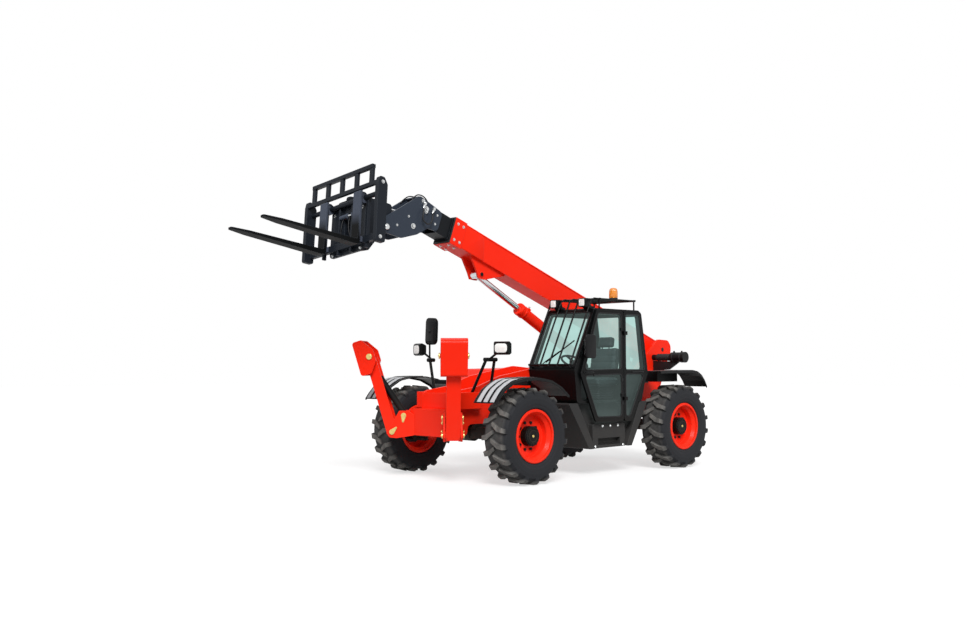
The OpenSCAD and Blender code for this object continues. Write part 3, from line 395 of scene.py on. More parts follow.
amber, tree, shader = bare("amber_polycarbonate", "#f28a12", 0.15, Coat_Weight=0.5, Transmission_Weight=0.35)
dome_place = add(tree, "ShaderNodeTexCoord").outputs["Object"]
glow = add(tree, "ShaderNodeTexNoise", {"Vector": dome_place, "Scale": 1000 / GLOW_MM})
amber_mix = add(tree, "ShaderNodeMix", {"Factor": glow.outputs["Fac"], "A": linear("#f08410"),
                                        "B": linear("#ffae3c")}, data_type="RGBA")
tree.links.new(amber_mix.outputs["Result"], shader.inputs["Base Color"])
red_lens = moulded("red_polycarbonate_lens", "#c3151a", "#a80f14", 0.15, grain_mm=14.0, strength=0.2)
print("finishes:", len(bpy.data.materials))

# %% [markdown]
# Each solid that already has the right shape only needs its finish. A table from finish to pieces shows
# at a glance what the machine is made of.

# %% Finishes on the solids
FINISH = {red: "chassis stand_beam engine_hood boom_outer lift_barrel",
          graphite: "tilt_barrel", frame_graphite: "carriage", tube_graphite: "boom_mid boom_inner",
          cab_black: "cab_frame cab_guard door lamp_stands",
          step_grey: "cab_base",
          axle_black: "front_axle rear_axle stand_barrel_l stand_barrel_r",
          iron: "counterweight engine_block",
          fender_plastic: "fenders air_cleaner side_mirror console lamps",
          fork_steel: "forks", seat_vinyl: "seat", amber: "beacon",
          tinted: "cab_glass door_glass", chrome: "lift_rod tilt_rod"}
PER_WHEEL = {"knuckle": axle_black, "hub": cab_black, "rim": red, "tyre": tyre_rubber}
PER_SIDE = {"stand_arm": red, "stand_pad": red, "stand_rod": chrome}
painted = [(name, finish) for finish, names in FINISH.items() for name in names.split()]
for group, keys in ((PER_WHEEL, WHEELS), (PER_SIDE, "lr")):
    painted += [(f"{stem}_{key}", finish) for stem, finish in group.items() for key in keys]
for name, finish in painted:
    NODES[name].data.materials.clear()
    NODES[name].data.materials.append(finish)
print("solids with a finish:", sum(1 for o in NODES.values() if o.data.materials))

# %% [markdown]
# The added pieces are built in bmesh, Blender's mesh editor for scripts. Operators that work on the
# selection would do too, but they depend on what is selected. Here each small shape is made, placed and
# poured into one mesh, so that a piece can hold many, and then the mesh is closed as an object.

# %% Pour and piece


def pour(mesh, shape, place):
    """Adds a finished small mesh to the piece's mesh at its place."""
    shape.transform(place)
    bmesh.ops.recalc_face_normals(shape, faces=shape.faces)
    held = bpy.data.meshes.new("held")
    shape.to_mesh(held)
    mesh.from_mesh(held)
    bpy.data.meshes.remove(held)
    shape.free()


def piece(name, mesh, finish, body, crease=32.0):
    """Closes a mesh as one object that rides on a body; edges sharper than the crease stay sharp."""
    data = bpy.data.meshes.new(name)
    mesh.to_mesh(data)
    mesh.free()
    for polygon in data.polygons:
        polygon.use_smooth = True
    data.set_sharp_from_angle(angle=math.radians(crease))
    data.materials.append(finish)
    made = bpy.data.objects.new(name, data)
    bpy.context.scene.collection.objects.link(made)
    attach(made, body)
    print(name, "faces:", len(data.polygons))
    return made


# %% [markdown]
# Plates and blocks are most of what a fabricator adds: a brick between two corners, and a slab that is
# cut from an outline. Both can have soft edges, because a true sharp edge never catches the light. An
# outline is drawn flat, and two matrices stand it up to look along the machine or across it.

# %% Bricks and slabs
# Outlines drawn in X and Z (or Y and Z), with their thickness along the axis that is left
XZ = Matrix(((1, 0, 0, 0), (0, 0, 1, 0), (0, 1, 0, 0), (0, 0, 0, 1)))
YZ = Matrix(((0, 0, 1, 0), (1, 0, 0, 0), (0, 1, 0, 0), (0, 0, 0, 1)))


def brick(mesh, place, low, high, edge, steps=2):
    """Block between two corners, with soft edges."""
    shape = bmesh.new()
    bmesh.ops.create_cube(shape, size=1.0)
    low, high = Vector(low), Vector(high)
    for v in shape.verts:
        v.co = Vector([(low[i] + high[i]) / 2 + v.co[i] * (high[i] - low[i]) for i in range(3)])
    bmesh.ops.bevel(shape, geom=shape.edges[:], offset=edge, segments=steps, affect="EDGES", profile=0.5)
    pour(mesh, shape, place)


def slab(mesh, place, outline, z0, z1, edge=0.0, steps=2):
    """Plate from an outline in local X and Y, between two heights."""
    shape = bmesh.new()
    face = shape.faces.new([shape.verts.new((p[0], p[1], z0)) for p in outline])
    lid = bmesh.ops.extrude_face_region(shape, geom=[face])["geom"]
    for v in lid:
        if isinstance(v, bmesh.types.BMVert):
            v.co.z = z1
    if edge:
        rim = [e for e in shape.edges if abs(e.verts[0].co.z - e.verts[1].co.z) < 1e-6]
        bmesh.ops.bevel(shape, geom=rim, offset=edge, segments=steps, affect="EDGES", profile=0.5)
    pour(mesh, shape, place)


def rounded(points, radius, steps=4):
    """Closed outline with its corners rounded."""
    out = []
    n = len(points)
    for i in range(n):
        p = Vector(points[i])
        a, b = Vector(points[i - 1]) - p, Vector(points[(i + 1) % n]) - p
        ua, ub = a.normalized(), b.normalized()
        half = math.acos(max(-1, min(1, ua.dot(ub)))) / 2
        if half > math.radians(88):
            out.append(tuple(p))
            continue
        d = min(radius / math.tan(half), 0.45 * min(a.length, b.length))
        for k in range(steps + 1):
            t = k / steps
            out.append(tuple(p + ua * d * (1 - t) ** 2 + ub * d * t ** 2))
    return out


# %% [markdown]
# Pins, glands, plugs and fittings come off a lathe, so they are turned here too: a profile of radius and
# height goes round an axis. With six sides the same tool makes a hexagon. A bolt is a hexagon head on a
# washer. Axes that face out from a plate put each of them on it.

# %% Turned shapes and bolts


def facing(point, direction):
    """Axes at a point, with local Z along a direction."""
    return moved(*point) @ Vector(direction).to_track_quat("Z", "Y").to_matrix().to_4x4()


def spun(mesh, place, profile, count):
    """Turned shape: radius and height pairs about local Z."""
    shape = bmesh.new()
    step = 2 * math.pi / count
    rings = []
    for r, z in profile:
        turns = 1 if r == 0 else count
        rings.append([shape.verts.new((r * math.cos(step * i), r * math.sin(step * i), z))
                      for i in range(turns)])
    for a, b in zip(rings, rings[1:]):
        for i in range(count):
            j = (i + 1) % count
            corner = [a[i % len(a)], a[j % len(a)], b[j % len(b)], b[i % len(b)]]
            corner = list(dict.fromkeys(corner))
            if len(corner) > 2:
                shape.faces.new(corner)
    pour(mesh, shape, place)


def bolt(mesh, place, across):
    """Hexagon bolt head on a washer, standing on local Z = 0."""
    washer = across * 0.85
    spun(mesh, place, [(0, 0), (washer, 0), (washer, across * 0.1), (across * 0.6, across * 0.14)], 20)
    corner = across * 0.577
    turns = [math.radians(60 * i) for i in range(6)]
    six = [(corner * math.cos(turn), corner * math.sin(turn)) for turn in turns]
    slab(mesh, place, six, across * 0.08, across * 0.6, edge=across * 0.06, steps=1)


# %% [markdown]
# Seals, handles and wires are round bars along a path. A curve object with a bevel could do it, and the
# hoses use that; for small trim, rings of points along the path stay in the same mesh as the rest of
# the piece.

# %% Paths and pipes


def smooth_path(points, per=6):
    """Catmull-Rom points through the given ones."""
    p = [Vector(q) for q in points]
    last = len(p) - 1
    out = []
    for i in range(last):
        a, b, c, d = (p[min(max(i + k, 0), last)] for k in (-1, 0, 1, 2))
        for s in range(per):
            t = s / per
            out.append(0.5 * (2 * b + (c - a) * t + (2 * a - 5 * b + 4 * c - d) * t * t
                              + (3 * b - a - 3 * c + d) * t ** 3))
    return out + [p[-1]]


def pipe(mesh, place, points, radius, count, closed=False):
    """Round bar through points, with flat ends unless it closes on itself."""
    p = [Vector(q) for q in points]
    n = len(p)
    step = 2 * math.pi / count
    shape = bmesh.new()
    side = None
    rings = []
    for i in range(n):
        ahead = p[(i + 1) % n] if closed or i < n - 1 else p[i]
        back = p[i - 1] if closed or i > 0 else p[i]
        way = (ahead - back).normalized()
        if side is None:
            side = way.orthogonal().normalized()
        side = (side - way * side.dot(way)).normalized()
        up = way.cross(side)
        rings.append([shape.verts.new(p[i] + radius * (side * math.cos(step * k) + up * math.sin(step * k)))
                      for k in range(count)])
    for i in range(n if closed else n - 1):
        a, b = rings[i], rings[(i + 1) % n]
        for k in range(count):
            shape.faces.new((a[k], a[(k + 1) % count], b[(k + 1) % count], b[k]))
    if not closed:
        shape.faces.new(rings[0][::-1])
        shape.faces.new(rings[-1])
    pour(mesh, shape, place)


# %% [markdown]
# Hydraulic hoses are bevelled curves. On the boom head, one hose on each side leaves a fitting on the
# plate, hangs in a loop and goes back to the plate. The loop is wide because a pressure hose of this bore
# must not bend tighter than about four of its diameters. Two more bow over the head to the tilt cylinder,
# and two thin ones serve the side shift of the carriage.

# %% Hoses of the boom head
HOSE_POINTS = 36
HEAD_LOOP = [(5123, 166, 88), (5123, 172, 40), (5123, 182, -10), (5123, 190, -60), (5118, 191, -87),
             (5105, 193, -110), (5084, 196, -127.5), (5058.5, 198, -136.8), (5031.5, 198, -136.8),
             (5006, 196, -127.5), (4985, 193, -110), (4972, 191, -87), (4967, 190, -60), (4967, 182, -10),
             (4967, 172, 40), (4967, 166, 88)]
TILT_BOW = [(4930, 60, 112), (4985, 64, 152), (5050, 70, 200), (5130, 76, 216), (5210, 84, 190),
            (5262, 96, 130), (5290, 112, 60)]
SHIFT_LINE = [(486, 58, 14), (506, 64, -50), (512, 72, -125), (502, 80, -200), (482, 84, -250)]
HOSES = (("head_hose_", BOOM, HEAD_LOOP, "boom_inner", 18.0),
         ("tilt_hose_", BOOM, TILT_BOW, "boom_inner", 16.0),
         ("carriage_hose_", CARRIAGE, SHIFT_LINE, "carriage", 12.0))


def hose(name, place, points, body, across):
    """Pressure hose along a smooth path, as a bevelled curve."""
    path = [place @ q for q in smooth_path(points, per=HOSE_POINTS // (len(points) - 1))]
    curve = bpy.data.curves.new(name, "CURVE")
    curve.dimensions = "3D"
    line = curve.splines.new("POLY")
    line.points.add(len(path) - 1)
    for knot, q in zip(line.points, path):
        knot.co = (*q, 1)
    curve.bevel_depth = across / 2000
    curve.bevel_resolution = 3
    curve.use_fill_caps = True
    curve.materials.append(hose_rubber)
    made = bpy.data.objects.new(name, curve)
    bpy.context.scene.collection.objects.link(made)
    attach(made, body)


for side, sign in (("l", 1), ("r", -1)):
    for stem, place, line, body, across in HOSES:
        hose(stem + side, place, [(x, sign * y, z) for x, y, z in line], body, across)

# %% [markdown]
# The outer boom tube is a welded box. A flange runs along its top edges and a doubler plate stiffens its
# front. They stand only a few millimetres proud, so they are laid on the tube as thin bricks and slabs.

# %% Boom flanges
TUBE_Y, DOUBLER_Y, FLANGE_Y = 142.0, 147.0, 150.0
TUBE_END, DOUBLER_LOW, DOUBLER_TOP = 4374, -163, 146
DOUBLER = rounded([(3930, DOUBLER_LOW), (TUBE_END, DOUBLER_LOW), (TUBE_END, DOUBLER_TOP),
                   (4040, DOUBLER_TOP)], 40)


def span(sign, inner, outer):
    """Two places across the machine in rising order, on its left (1) or its right (-1)."""
    return sorted((sign * inner, sign * outer))


mesh = bmesh.new()
for sign in (1, -1):
    low, high = span(sign, TUBE_Y, FLANGE_Y)
    brick(mesh, BOOM, (-100, low, 147), (TUBE_END, high, 165), 2.0)
    low, high = span(sign, TUBE_Y, DOUBLER_Y)
    slab(mesh, BOOM @ XZ, DOUBLER, low, high, 1.5)
piece("boom_flanges", mesh, red, "boom_outer")

# %% [markdown]
# The collar at the mouth of the boom holds the sliding pads. Rows of zinc bolts clamp them from all four
# sides, and the ends of the pads show as a dark frame round the inner tube.

# %% Boom collar
COLLAR_Y, COLLAR_LOW, COLLAR_TOP = 157, -183, 177
COLLAR_BOLT, COLLAR_BOLT_U, COLLAR_BOLT_Y = 22, (4425, 4520), 80
PAD_START, PAD_END, PAD_LOW, PAD_TOP = 4574, 4592, -178, 172
mesh = bmesh.new()
for sign in (1, -1):
    for u in COLLAR_BOLT_U:
        for n in (-115, 105):
            bolt(mesh, BOOM @ facing((u, sign * COLLAR_Y, n), (0, sign, 0)), COLLAR_BOLT)
        for n, way in ((COLLAR_LOW, -1), (COLLAR_TOP, 1)):
            bolt(mesh, BOOM @ facing((u, sign * COLLAR_BOLT_Y, n), (0, 0, way)), COLLAR_BOLT)
piece("collar_bolts", mesh, bright_zinc, "boom_outer")
mesh = bmesh.new()
for sign in (1, -1):
    low, high = span(sign, 132.5, 154.0)
    brick(mesh, BOOM, (PAD_START, low, PAD_LOW), (PAD_END, high, PAD_TOP), 3.0)
brick(mesh, BOOM, (PAD_START, -132, 154.5), (PAD_END, 132, PAD_TOP), 3.0)
brick(mesh, BOOM, (PAD_START, -132, PAD_LOW), (PAD_END, 132, -154.5), 3.0)
piece("collar_pads", mesh, seal_rubber, "boom_outer")

# %% [markdown]
# Every joint of the boom and the stands turns on a steel pin. A flat keeper plate with one bolt stops the
# pin from turning, and it is plated, so it stands out from the paint. The drop shape is an arc round the
# pin that runs out to the bolt.

# %% Stand keepers and pins
KEEPER_REACH, KEEPER_R = 78.0, 34.0


def keeper(mesh, place):
    """Drop-shaped keeper plate over a pin end, standing on local Z = 0."""
    reach, r = KEEPER_REACH, KEEPER_R
    drop = [(r * math.cos(math.radians(t)), r * math.sin(math.radians(t))) for t in range(60, 301, 20)]
    drop += [(reach, -13), (reach + 10, -6), (reach + 10, 6), (reach, 13)]
    slab(mesh, place, drop, 0, 9, 1.5, 1)
    bolt(mesh, place @ moved(reach - 12, 0, 9), 16)
    spun(mesh, place, [(0, 17), (r * 0.5, 17), (r * 0.62, 13), (r * 0.62, 9)], 24)


# Where a keeper sits on a stand's cheek (Y, Z), how far out the cheek is, and how the drop leans
KEEPERS = (((0, 0), 126, -135), ((-150, 210), 122, 5))
FOOT_PIN_Z, FOOT_PIN_X = 1005, 168
mesh = bmesh.new()
for place in STANDS.values():
    for sign in (1, -1):
        for point, cheek, lean in KEEPERS:
            spot = place @ moved(sign * cheek, *point) @ turned(sign * 90, "Y")
            keeper(mesh, spot @ turned(lean if sign > 0 else 180 - lean, "Z"))
piece("stand_keepers", mesh, zinc, "chassis")
for side, place in ARMS.items():
    mesh = bmesh.new()
    for sign in (1, -1):
        spot = place @ moved(sign * FOOT_PIN_X, 0, FOOT_PIN_Z) @ turned(sign * 90, "Y")
        spun(mesh, spot, [(0, 14), (30, 14), (38, 9), (38, 0)], 28)
        spun(mesh, spot, [(0, 20), (10, 20), (12, 17), (12, 14)], 6)
    piece("pad_pin_" + side, mesh, zinc, "stand_pad_" + side)

# %% [markdown]
# The pins of the lift cylinder and of the fork carriage end in turned heads. On the boom head, bolts of
# two sizes hold the plates, and each hose ends in an elbow: a forged block, a hexagon and a crimped
# sleeve, in that order, as on a real hose end.

# %% Pins and fittings of the boom
LIFT_EYE_U, LIFT_EYE_Y, LIFT_EYE_N = 3880, 110, -320
HEAD_PLATE_Y, FORK_PIN_Y = 141, 151
mesh = bmesh.new()
for sign in (1, -1):
    eye = BOOM @ facing((LIFT_EYE_U, sign * LIFT_EYE_Y, LIFT_EYE_N), (0, sign, 0))
    spun(mesh, eye, [(0, 8), (22, 8), (26, 4), (26, 0)], 28)
piece("lift_pin_heads", mesh, axle_black, "boom_outer")
mesh = bmesh.new()
for sign in (1, -1):
    spot = BOOM @ facing((FORK_PIN[0], sign * FORK_PIN_Y, FORK_PIN[2]), (0, sign, 0))
    spun(mesh, spot, [(0, 10), (30, 10), (36, 5), (36, 0)], 28)
    for u, n, across in ((5060, 60, 40), (5185, -235, 40), (4870, 60, 18), (4870, -60, 18), (5290, -150, 18),
                         (5420, -330, 18)):
        bolt(mesh, BOOM @ facing((u, sign * HEAD_PLATE_Y, n), (0, sign, 0)), across)
piece("head_fittings", mesh, bright_zinc, "boom_inner")
mesh = bmesh.new()
for sign in (1, -1):
    for u, y, n in (HEAD_LOOP[0], HEAD_LOOP[-1]):
        elbow = BOOM @ moved(u, sign * y, n)
        low, high = span(sign, -26, 17)
        brick(mesh, elbow, (-17, low, -8), (17, high, 30), 5)
        spun(mesh, elbow, [(15, -30), (15, -8), (12, -6)], 6)
        spun(mesh, elbow, [(12, -52), (12, -30), (9, -29)], 20)
    for u, n in ((5150, 128), (5060, 20)):
        spot = BOOM @ facing((u, sign * HEAD_PLATE_Y, n), (0, sign, 0))
        spun(mesh, spot, [(24, 0), (24, 8), (18, 10), (18, 26), (0, 27)], 6)
piece("hose_elbows", mesh, bright_zinc, "boom_inner")

# %% [markdown]
# The wheel hub carries planetary gears under a cover with a ring of small bolts and a yellow plug in its
# middle. A valve stands in the rim. Each wheel has its own pieces, because each turns by itself.

# %% Hub covers
COVER_BOLTS, COVER_BOLT_R, COVER_FACE = 12, 94, 132
for name, place in WHEELS.items():
    axle = place @ turned(-90, "X")
    mesh = bmesh.new()
    spun(mesh, axle, [(0, 142), (13, 141), (17, 138), (17, COVER_FACE)], 20)
    piece("hub_plug_" + name, mesh, zinc, "wheel_" + name)
    mesh = bmesh.new()
    spun(mesh, axle, [(62, COVER_FACE), (62, 136), (78, 136), (78, COVER_FACE)], 40)
    for i in range(COVER_BOLTS):
        bolt(mesh, axle @ turned(360 / COVER_BOLTS * i, "Z") @ moved(COVER_BOLT_R, 0, COVER_FACE + 1), 13)
    pipe(mesh, axle, [(226, 40, 30), (226, 40, 60), (230, 42, 74)], 7, 8)
    piece("hub_bolts_" + name, mesh, axle_black, "wheel_" + name)

# %% [markdown]
# Cab openings have extruded rubber seals. A closed pipe follows each window's outline, half sunk in its
# frame, which gives the thin dark line and the soft highlight that real seals have.

# %% Window seals
SEAL_Y, SEAL_R = 1148, 8
SEALS = {"door": [rounded([(1280, 1400), (2038, 1385), (1755, 2140), (1280, 2140)], 55),
                  rounded([(1280, 770), (1780, 775), (2035, 1320), (1280, 1335)], 55)],
         "chassis": [rounded([(770, 1385), (1190, 1385), (1190, 2140), (890, 2140)], 45),
                     rounded([(790, 1335), (1100, 770), (1190, 770), (1190, 1335)], 45)]}
for body, outlines in SEALS.items():
    mesh = bmesh.new()
    for outline in outlines:
        pipe(mesh, BASE, [(x, SEAL_Y, z) for x, z in outline], SEAL_R, 8, closed=True)
    piece("side_seals_" + body, mesh, seal_rubber, body)

# %% [markdown]
# The two work lamps on the roof and the two head lamps in front each get a bright lens in the face of
# their housing, with a raised rim around it. One function draws the face for lens and rim, so they
# always fit.

# %% Lamp lenses
ROOF_LAMP_Y, ROOF_LAMP = (470, 975), (46, 2234, 2325, 16)
HEAD_LAMP, HEAD_LAMP_BACK = (84, 1606, 1720, 44), (70, 1606, 1716, 40)
HEAD_LAMPS = [BASE @ moved(3180, 800, 0) @ turned(20, "Z"), BASE @ moved(3180, -790, 0) @ turned(-15, "Z")]


def lamp_face(half, low, high, corner, grow=0.0):
    """Rounded outline of a lamp's face in Y and Z about its middle."""
    return rounded([(-half - grow, low - grow), (half + grow, low - grow), (half + grow, high + grow),
                    (-half - grow, high + grow)], corner + grow, 5)


mesh = bmesh.new()
for y in ROOF_LAMP_Y:
    slab(mesh, BASE @ moved(0, y, 0) @ YZ, lamp_face(*ROOF_LAMP), 1876, 1891, 4)
for place in HEAD_LAMPS:
    slab(mesh, place @ YZ, lamp_face(*HEAD_LAMP), 40, 58, 6)
piece("lamp_lenses", mesh, lens, "chassis")
mesh = bmesh.new()
for y in ROOF_LAMP_Y:
    pipe(mesh, BASE @ moved(0, y, 0), [(1884, a, b) for a, b in lamp_face(*ROOF_LAMP, 5)], 6, 8, closed=True)
for place in HEAD_LAMPS:
    pipe(mesh, place, [(49, a, b) for a, b in lamp_face(*HEAD_LAMP, 7)], 9, 8, closed=True)
    slab(mesh, place @ YZ, lamp_face(*HEAD_LAMP_BACK), -66, -40, 12)
piece("lamp_rims", mesh, fender_plastic, "chassis")

# %% [markdown]
# Mirrors have a moulded shell that is crowned at the back and a silvered plate in front of it. Three
# slabs, each smaller than the last, make the crown. The left mirror swings with the door, so it rides
# there; the right one stands on the lamp post.

# %% Mirrors
RIGHT_MIRROR = [(-690, 1725), (-480, 1725), (-465, 2080), (-670, 2090)]
LEFT_MIRROR = [(1895, 1540), (2095, 1540), (2095, 1850), (1895, 1850)]
CROWN = ((0, 3173, 3180), (24, 3179, 3188), (52, 3187, 3194))


def inset(points, by):
    """The outline drawn nearer to its middle by a length."""
    middle = sum((Vector(p) for p in points), Vector((0, 0))) / len(points)
    return [tuple(Vector(p) - (Vector(p) - middle).normalized() * by) for p in points]


mesh = bmesh.new()
for shrink, x0, x1 in CROWN:
    slab(mesh, BASE @ YZ, rounded(inset(RIGHT_MIRROR, shrink), 70 - shrink, 6), x0, x1, 4)
spun(mesh, BASE @ facing((3190, -588, 1905), (1, 0, 0)), [(0, 16), (20, 16), (26, 10), (26, 0)], 20)
piece("right_mirror_shell", mesh, fender_plastic, "chassis")
mesh = bmesh.new()
slab(mesh, BASE @ YZ, rounded(inset(RIGHT_MIRROR, 16), 58, 6), 3132, 3137, 1.5, 1)
piece("right_mirror_glass", mesh, mirror_glass, "chassis")
mesh = bmesh.new()
slab(mesh, BASE @ XZ, rounded(LEFT_MIRROR, 46, 6), 1198, 1236, 15, 4)
pipe(mesh, BASE, smooth_path([(1962, 1148, 1655), (1962, 1170, 1660), (1962, 1204, 1668)]), 13, 12)
left_shell = piece("left_mirror_shell", mesh, fender_plastic, "door")
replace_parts(left_shell, "side_mirror")
mesh = bmesh.new()
slab(mesh, BASE @ XZ, rounded(inset(LEFT_MIRROR, 20), 34, 6), 1195, 1199, 1.5, 1)
piece("left_mirror_glass", mesh, mirror_glass, "door")

# %% [markdown]
# The beacon is an amber dome with vertical flutes on a black foot. A bump could fake the flutes, but they
# catch the light as a row of bright lines right up to the outline, so they are modelled.

# %% Beacon
BEACON_X, BEACON_Y = 985, 780
FLUTES, DOME_MM, FLUTE_DEPTH = 28, 61, 0.03
DOME_ROWS = ((0.94, 2388), (1.0, 2396), (1.0, 2440), (0.98, 2480), (0.9, 2505), (0.72, 2521), (0.4, 2528),
             (0.0, 2529))
FOOT_PROFILE = [(0, 2349), (50, 2349), (54, 2353), (52, 2366), (60, 2374), (61, 2386), (56, 2389), (0, 2389)]
shape = bmesh.new()
rings = []
for share, z in DOME_ROWS:
    ring = []
    for i in range(FLUTES * 4 if share else 1):
        turn = 2 * math.pi * i / (FLUTES * 4)
        r = share * DOME_MM * (1 - FLUTE_DEPTH * (0.5 - 0.5 * math.cos(turn * FLUTES)))
        ring.append(shape.verts.new((BEACON_X + r * math.cos(turn), BEACON_Y + r * math.sin(turn), z)))
    rings.append(ring)
for a, b in zip(rings, rings[1:]):
    for i in range(len(a)):
        j = (i + 1) % len(a)
        shape.faces.new((a[i], a[j], b[j], b[i]) if len(b) > 1 else (a[i], a[j], b[0]))
shape.faces.new(rings[0][::-1])
mesh = bmesh.new()
pour(mesh, shape, BASE)
dome = piece("beacon_dome", mesh, amber, "chassis", 60)
mesh = bmesh.new()
spun(mesh, BASE @ moved(BEACON_X, BEACON_Y, 0), FOOT_PROFILE, 36)
foot = piece("beacon_foot", mesh, seal_rubber, "chassis")
for made in (dome, foot):
    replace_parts(made, "beacon")

# %% [markdown]
# The seat is foam under embossed vinyl: a cushion and a back with sewn channels and raised sides, and a
# head rest. Cloth could be inflated for it; behind tinted glass, moving the points of a fine block by a
# formula gives the same look at once. The skin is crowned between the seams, pulled in at the channels
# and between the corners, and kept flat where it rests.

# %% Cushion tool
SEAM_MM, SEAM_DEPTH, PULL_IN = 9, 9, 0.03
WING_AT, WING_WIDTH, SKIN_CUTS = 0.74, 0.16, 30


def cushion(mesh, place, low, high, round_mm, crown, seams, wings):
    """Foam block with its crowned side towards local Z; seams are places along local Y."""
    half = [(b - a) / 2 for a, b in zip(low, high)]
    middle = Vector([(b + a) / 2 for a, b in zip(low, high)])
    shape = bmesh.new()
    bmesh.ops.create_cube(shape, size=2)
    bmesh.ops.subdivide_edges(shape, edges=shape.edges[:], cuts=SKIN_CUTS, use_grid_fill=True)
    for v in shape.verts:
        unit = v.co.copy()
        flat = Vector([unit[i] * half[i] for i in range(3)])
        core = Vector([max(-half[i] + round_mm, min(half[i] - round_mm, flat[i])) for i in range(3)])
        skin = core + (flat - core).normalized() * round_mm if (flat - core).length > 1e-6 else flat
        across, along = 1 - unit.x ** 2, 1 - unit.y ** 2
        if unit.z > -0.5:
            dip = sum(math.exp(-((skin.y + middle.y - s) / SEAM_MM) ** 2) for s in seams)
            wing = math.exp(-((abs(unit.x) - WING_AT) / WING_WIDTH) ** 2)
            drop = crown * (1 - across * along) + SEAM_DEPTH * dip - wings * wing + wings
            skin.z -= (unit.z + 0.5) / 1.5 * drop
        skin.x *= 1 - PULL_IN * along * (1 - unit.z ** 2)
        skin.y *= 1 - PULL_IN * across * (1 - unit.z ** 2)
        v.co = middle + skin
    pour(mesh, shape, place)


# %% [markdown]
# The cushion lies level and the back leans on its own axes. Each could be drawn with its lean worked out,
# but on axes of its own it is drawn flat, with its seams at plain distances from its foot.

# %% Seat cushions
SEAT_Y, BACK_LEAN = 720, -9.2
BACK = BASE @ moved(1160, SEAT_Y, 1300) @ turned(BACK_LEAN, "Y") @ YZ
SIT = BASE @ moved(0, SEAT_Y, 0) @ Matrix(((0, 1, 0, 0), (1, 0, 0, 0), (0, 0, 1, 0), (0, 0, 0, 1)))
for name, place, low, high, round_mm, crown, seams, wings in (
        ("seat_cushion", SIT, (-238, 1094, 1184), (238, 1556, 1299), 34, 14, (1220, 1330, 1440), 16),
        ("seat_back", BACK, (-228, 6, -64), (228, 392, 58), 36, 12, (100, 190, 280), 18),
        ("head_rest", BACK, (-120, 404, -60), (120, 548, 40), 34, 10, (), 0)):
    mesh = bmesh.new()
    cushion(mesh, place, low, high, round_mm, crown, seams, wings)
    made = piece(name, mesh, seat_vinyl, "chassis", 80)
    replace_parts(made, "seat")

# %% [markdown]
# Below the cushion, folded rubber bellows hide the suspension. A stack of bricks with very round edges
# looks like folds, and it is quicker than a folded sheet. Two black posts carry the head rest.

# %% Seat bellows
FOLDS, FOLD_MM, FOLD_Z = 6, 30, 990
mesh = bmesh.new()
for i in range(FOLDS):
    brick(mesh, BASE, (1136, 546, FOLD_Z + i * FOLD_MM), (1474, 894, FOLD_Z + 32 + i * FOLD_MM), 13, 3)
brick(mesh, BASE, (1100, 500, 1166), (1540, 940, 1186), 6)
for y in (-60, 60):
    pipe(mesh, BACK, [(y, 380, -8), (y, 420, -8)], 8, 10)
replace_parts(piece("seat_bellows", mesh, seal_rubber, "chassis"), "seat")

# %% [markdown]
# Controls that show through the glass: a cowl over the console with two dials, and an arm rest with a
# joystick at the driver's right hand. Only their outlines can be seen, so they stay simple.

# %% Controls
STICK_X, STICK_Y = 1470, 418
COWL = rounded([(1842, 1322), (2044, 1322), (2050, 1360), (1930, 1398), (1850, 1372)], 18)
BOOT = [(38, 0), (34, 18), (26, 26), (28, 34), (18, 48), (9, 52), (9, 132), (0, 132)]
GRIP = [(0, -10), (16, -8), (23, 12), (24, 52), (18, 74), (0, 80)]
mesh = bmesh.new()
slab(mesh, BASE @ moved(0, 470, 0) @ XZ, COWL, 0, 480, 10, 3)
brick(mesh, BASE, (1150, 372, 1060), (1530, 462, 1336), 18, 3)
spun(mesh, BASE @ moved(STICK_X, STICK_Y, 1334), BOOT, 24)
spun(mesh, BASE @ moved(STICK_X, STICK_Y, 1460), GRIP, 24)
piece("cab_controls", mesh, fender_plastic, "chassis")
mesh = bmesh.new()
for y in (640, 780):
    spot = BASE @ facing((1847, y, 1352), (-0.97, 0, 0.24))
    spun(mesh, spot, [(0, 5), (34, 5), (36, 9), (42, 9), (42, 0)], 32)
piece("dial_rims", mesh, bright_zinc, "chassis")

# %% [markdown]
# Door furniture rides on the door: a grab handle, a lock and three hinge leaves. The rear window's latch
# bar, the seal round the windscreen and the wiper, which is parked across its foot, stay with the cab.
# The windscreen leans back, so its trim is drawn on axes that lean with it.

# %% Door handle, latch, wiper
DOOR_FACE_Y, SCREEN_LEAN = 1149, -26.47
HINGE_Z = (930, 1235, 1900)
SCREEN = BASE @ moved(2160, 0, 1395) @ turned(SCREEN_LEAN, "Y")
HANDLE = [(1884, 1150, 1358), (1890, 1176, 1358), (1950, 1182, 1358), (2022, 1176, 1358), (2030, 1150, 1358)]
LATCH = [(806, 1122, 1358), (812, 1158, 1360), (930, 1162, 1362), (1040, 1158, 1360), (1046, 1122, 1358)]
WIPER_ARM = [(26, 520, 20), (46, 540, 60), (44, 640, 150), (38, 760, 250)]
SCREEN_SEAL = rounded([(355, 40), (1073, 40), (1073, 824), (355, 824)], 50)
mesh = bmesh.new()
brick(mesh, BASE, (1870, DOOR_FACE_Y, 1340), (2046, 1156, 1376), 3)
pipe(mesh, BASE, smooth_path(HANDLE), 9, 12)
spun(mesh, BASE @ facing((1856, DOOR_FACE_Y, 1322), (0, 1, 0)), [(0, 9), (13, 9), (16, 5), (16, 0)], 20)
for z in HINGE_Z:
    brick(mesh, BASE, (1248, DOOR_FACE_Y, z), (1300, 1157, z + 46), 3)
piece("door_handle", mesh, fender_plastic, "door")
mesh = bmesh.new()
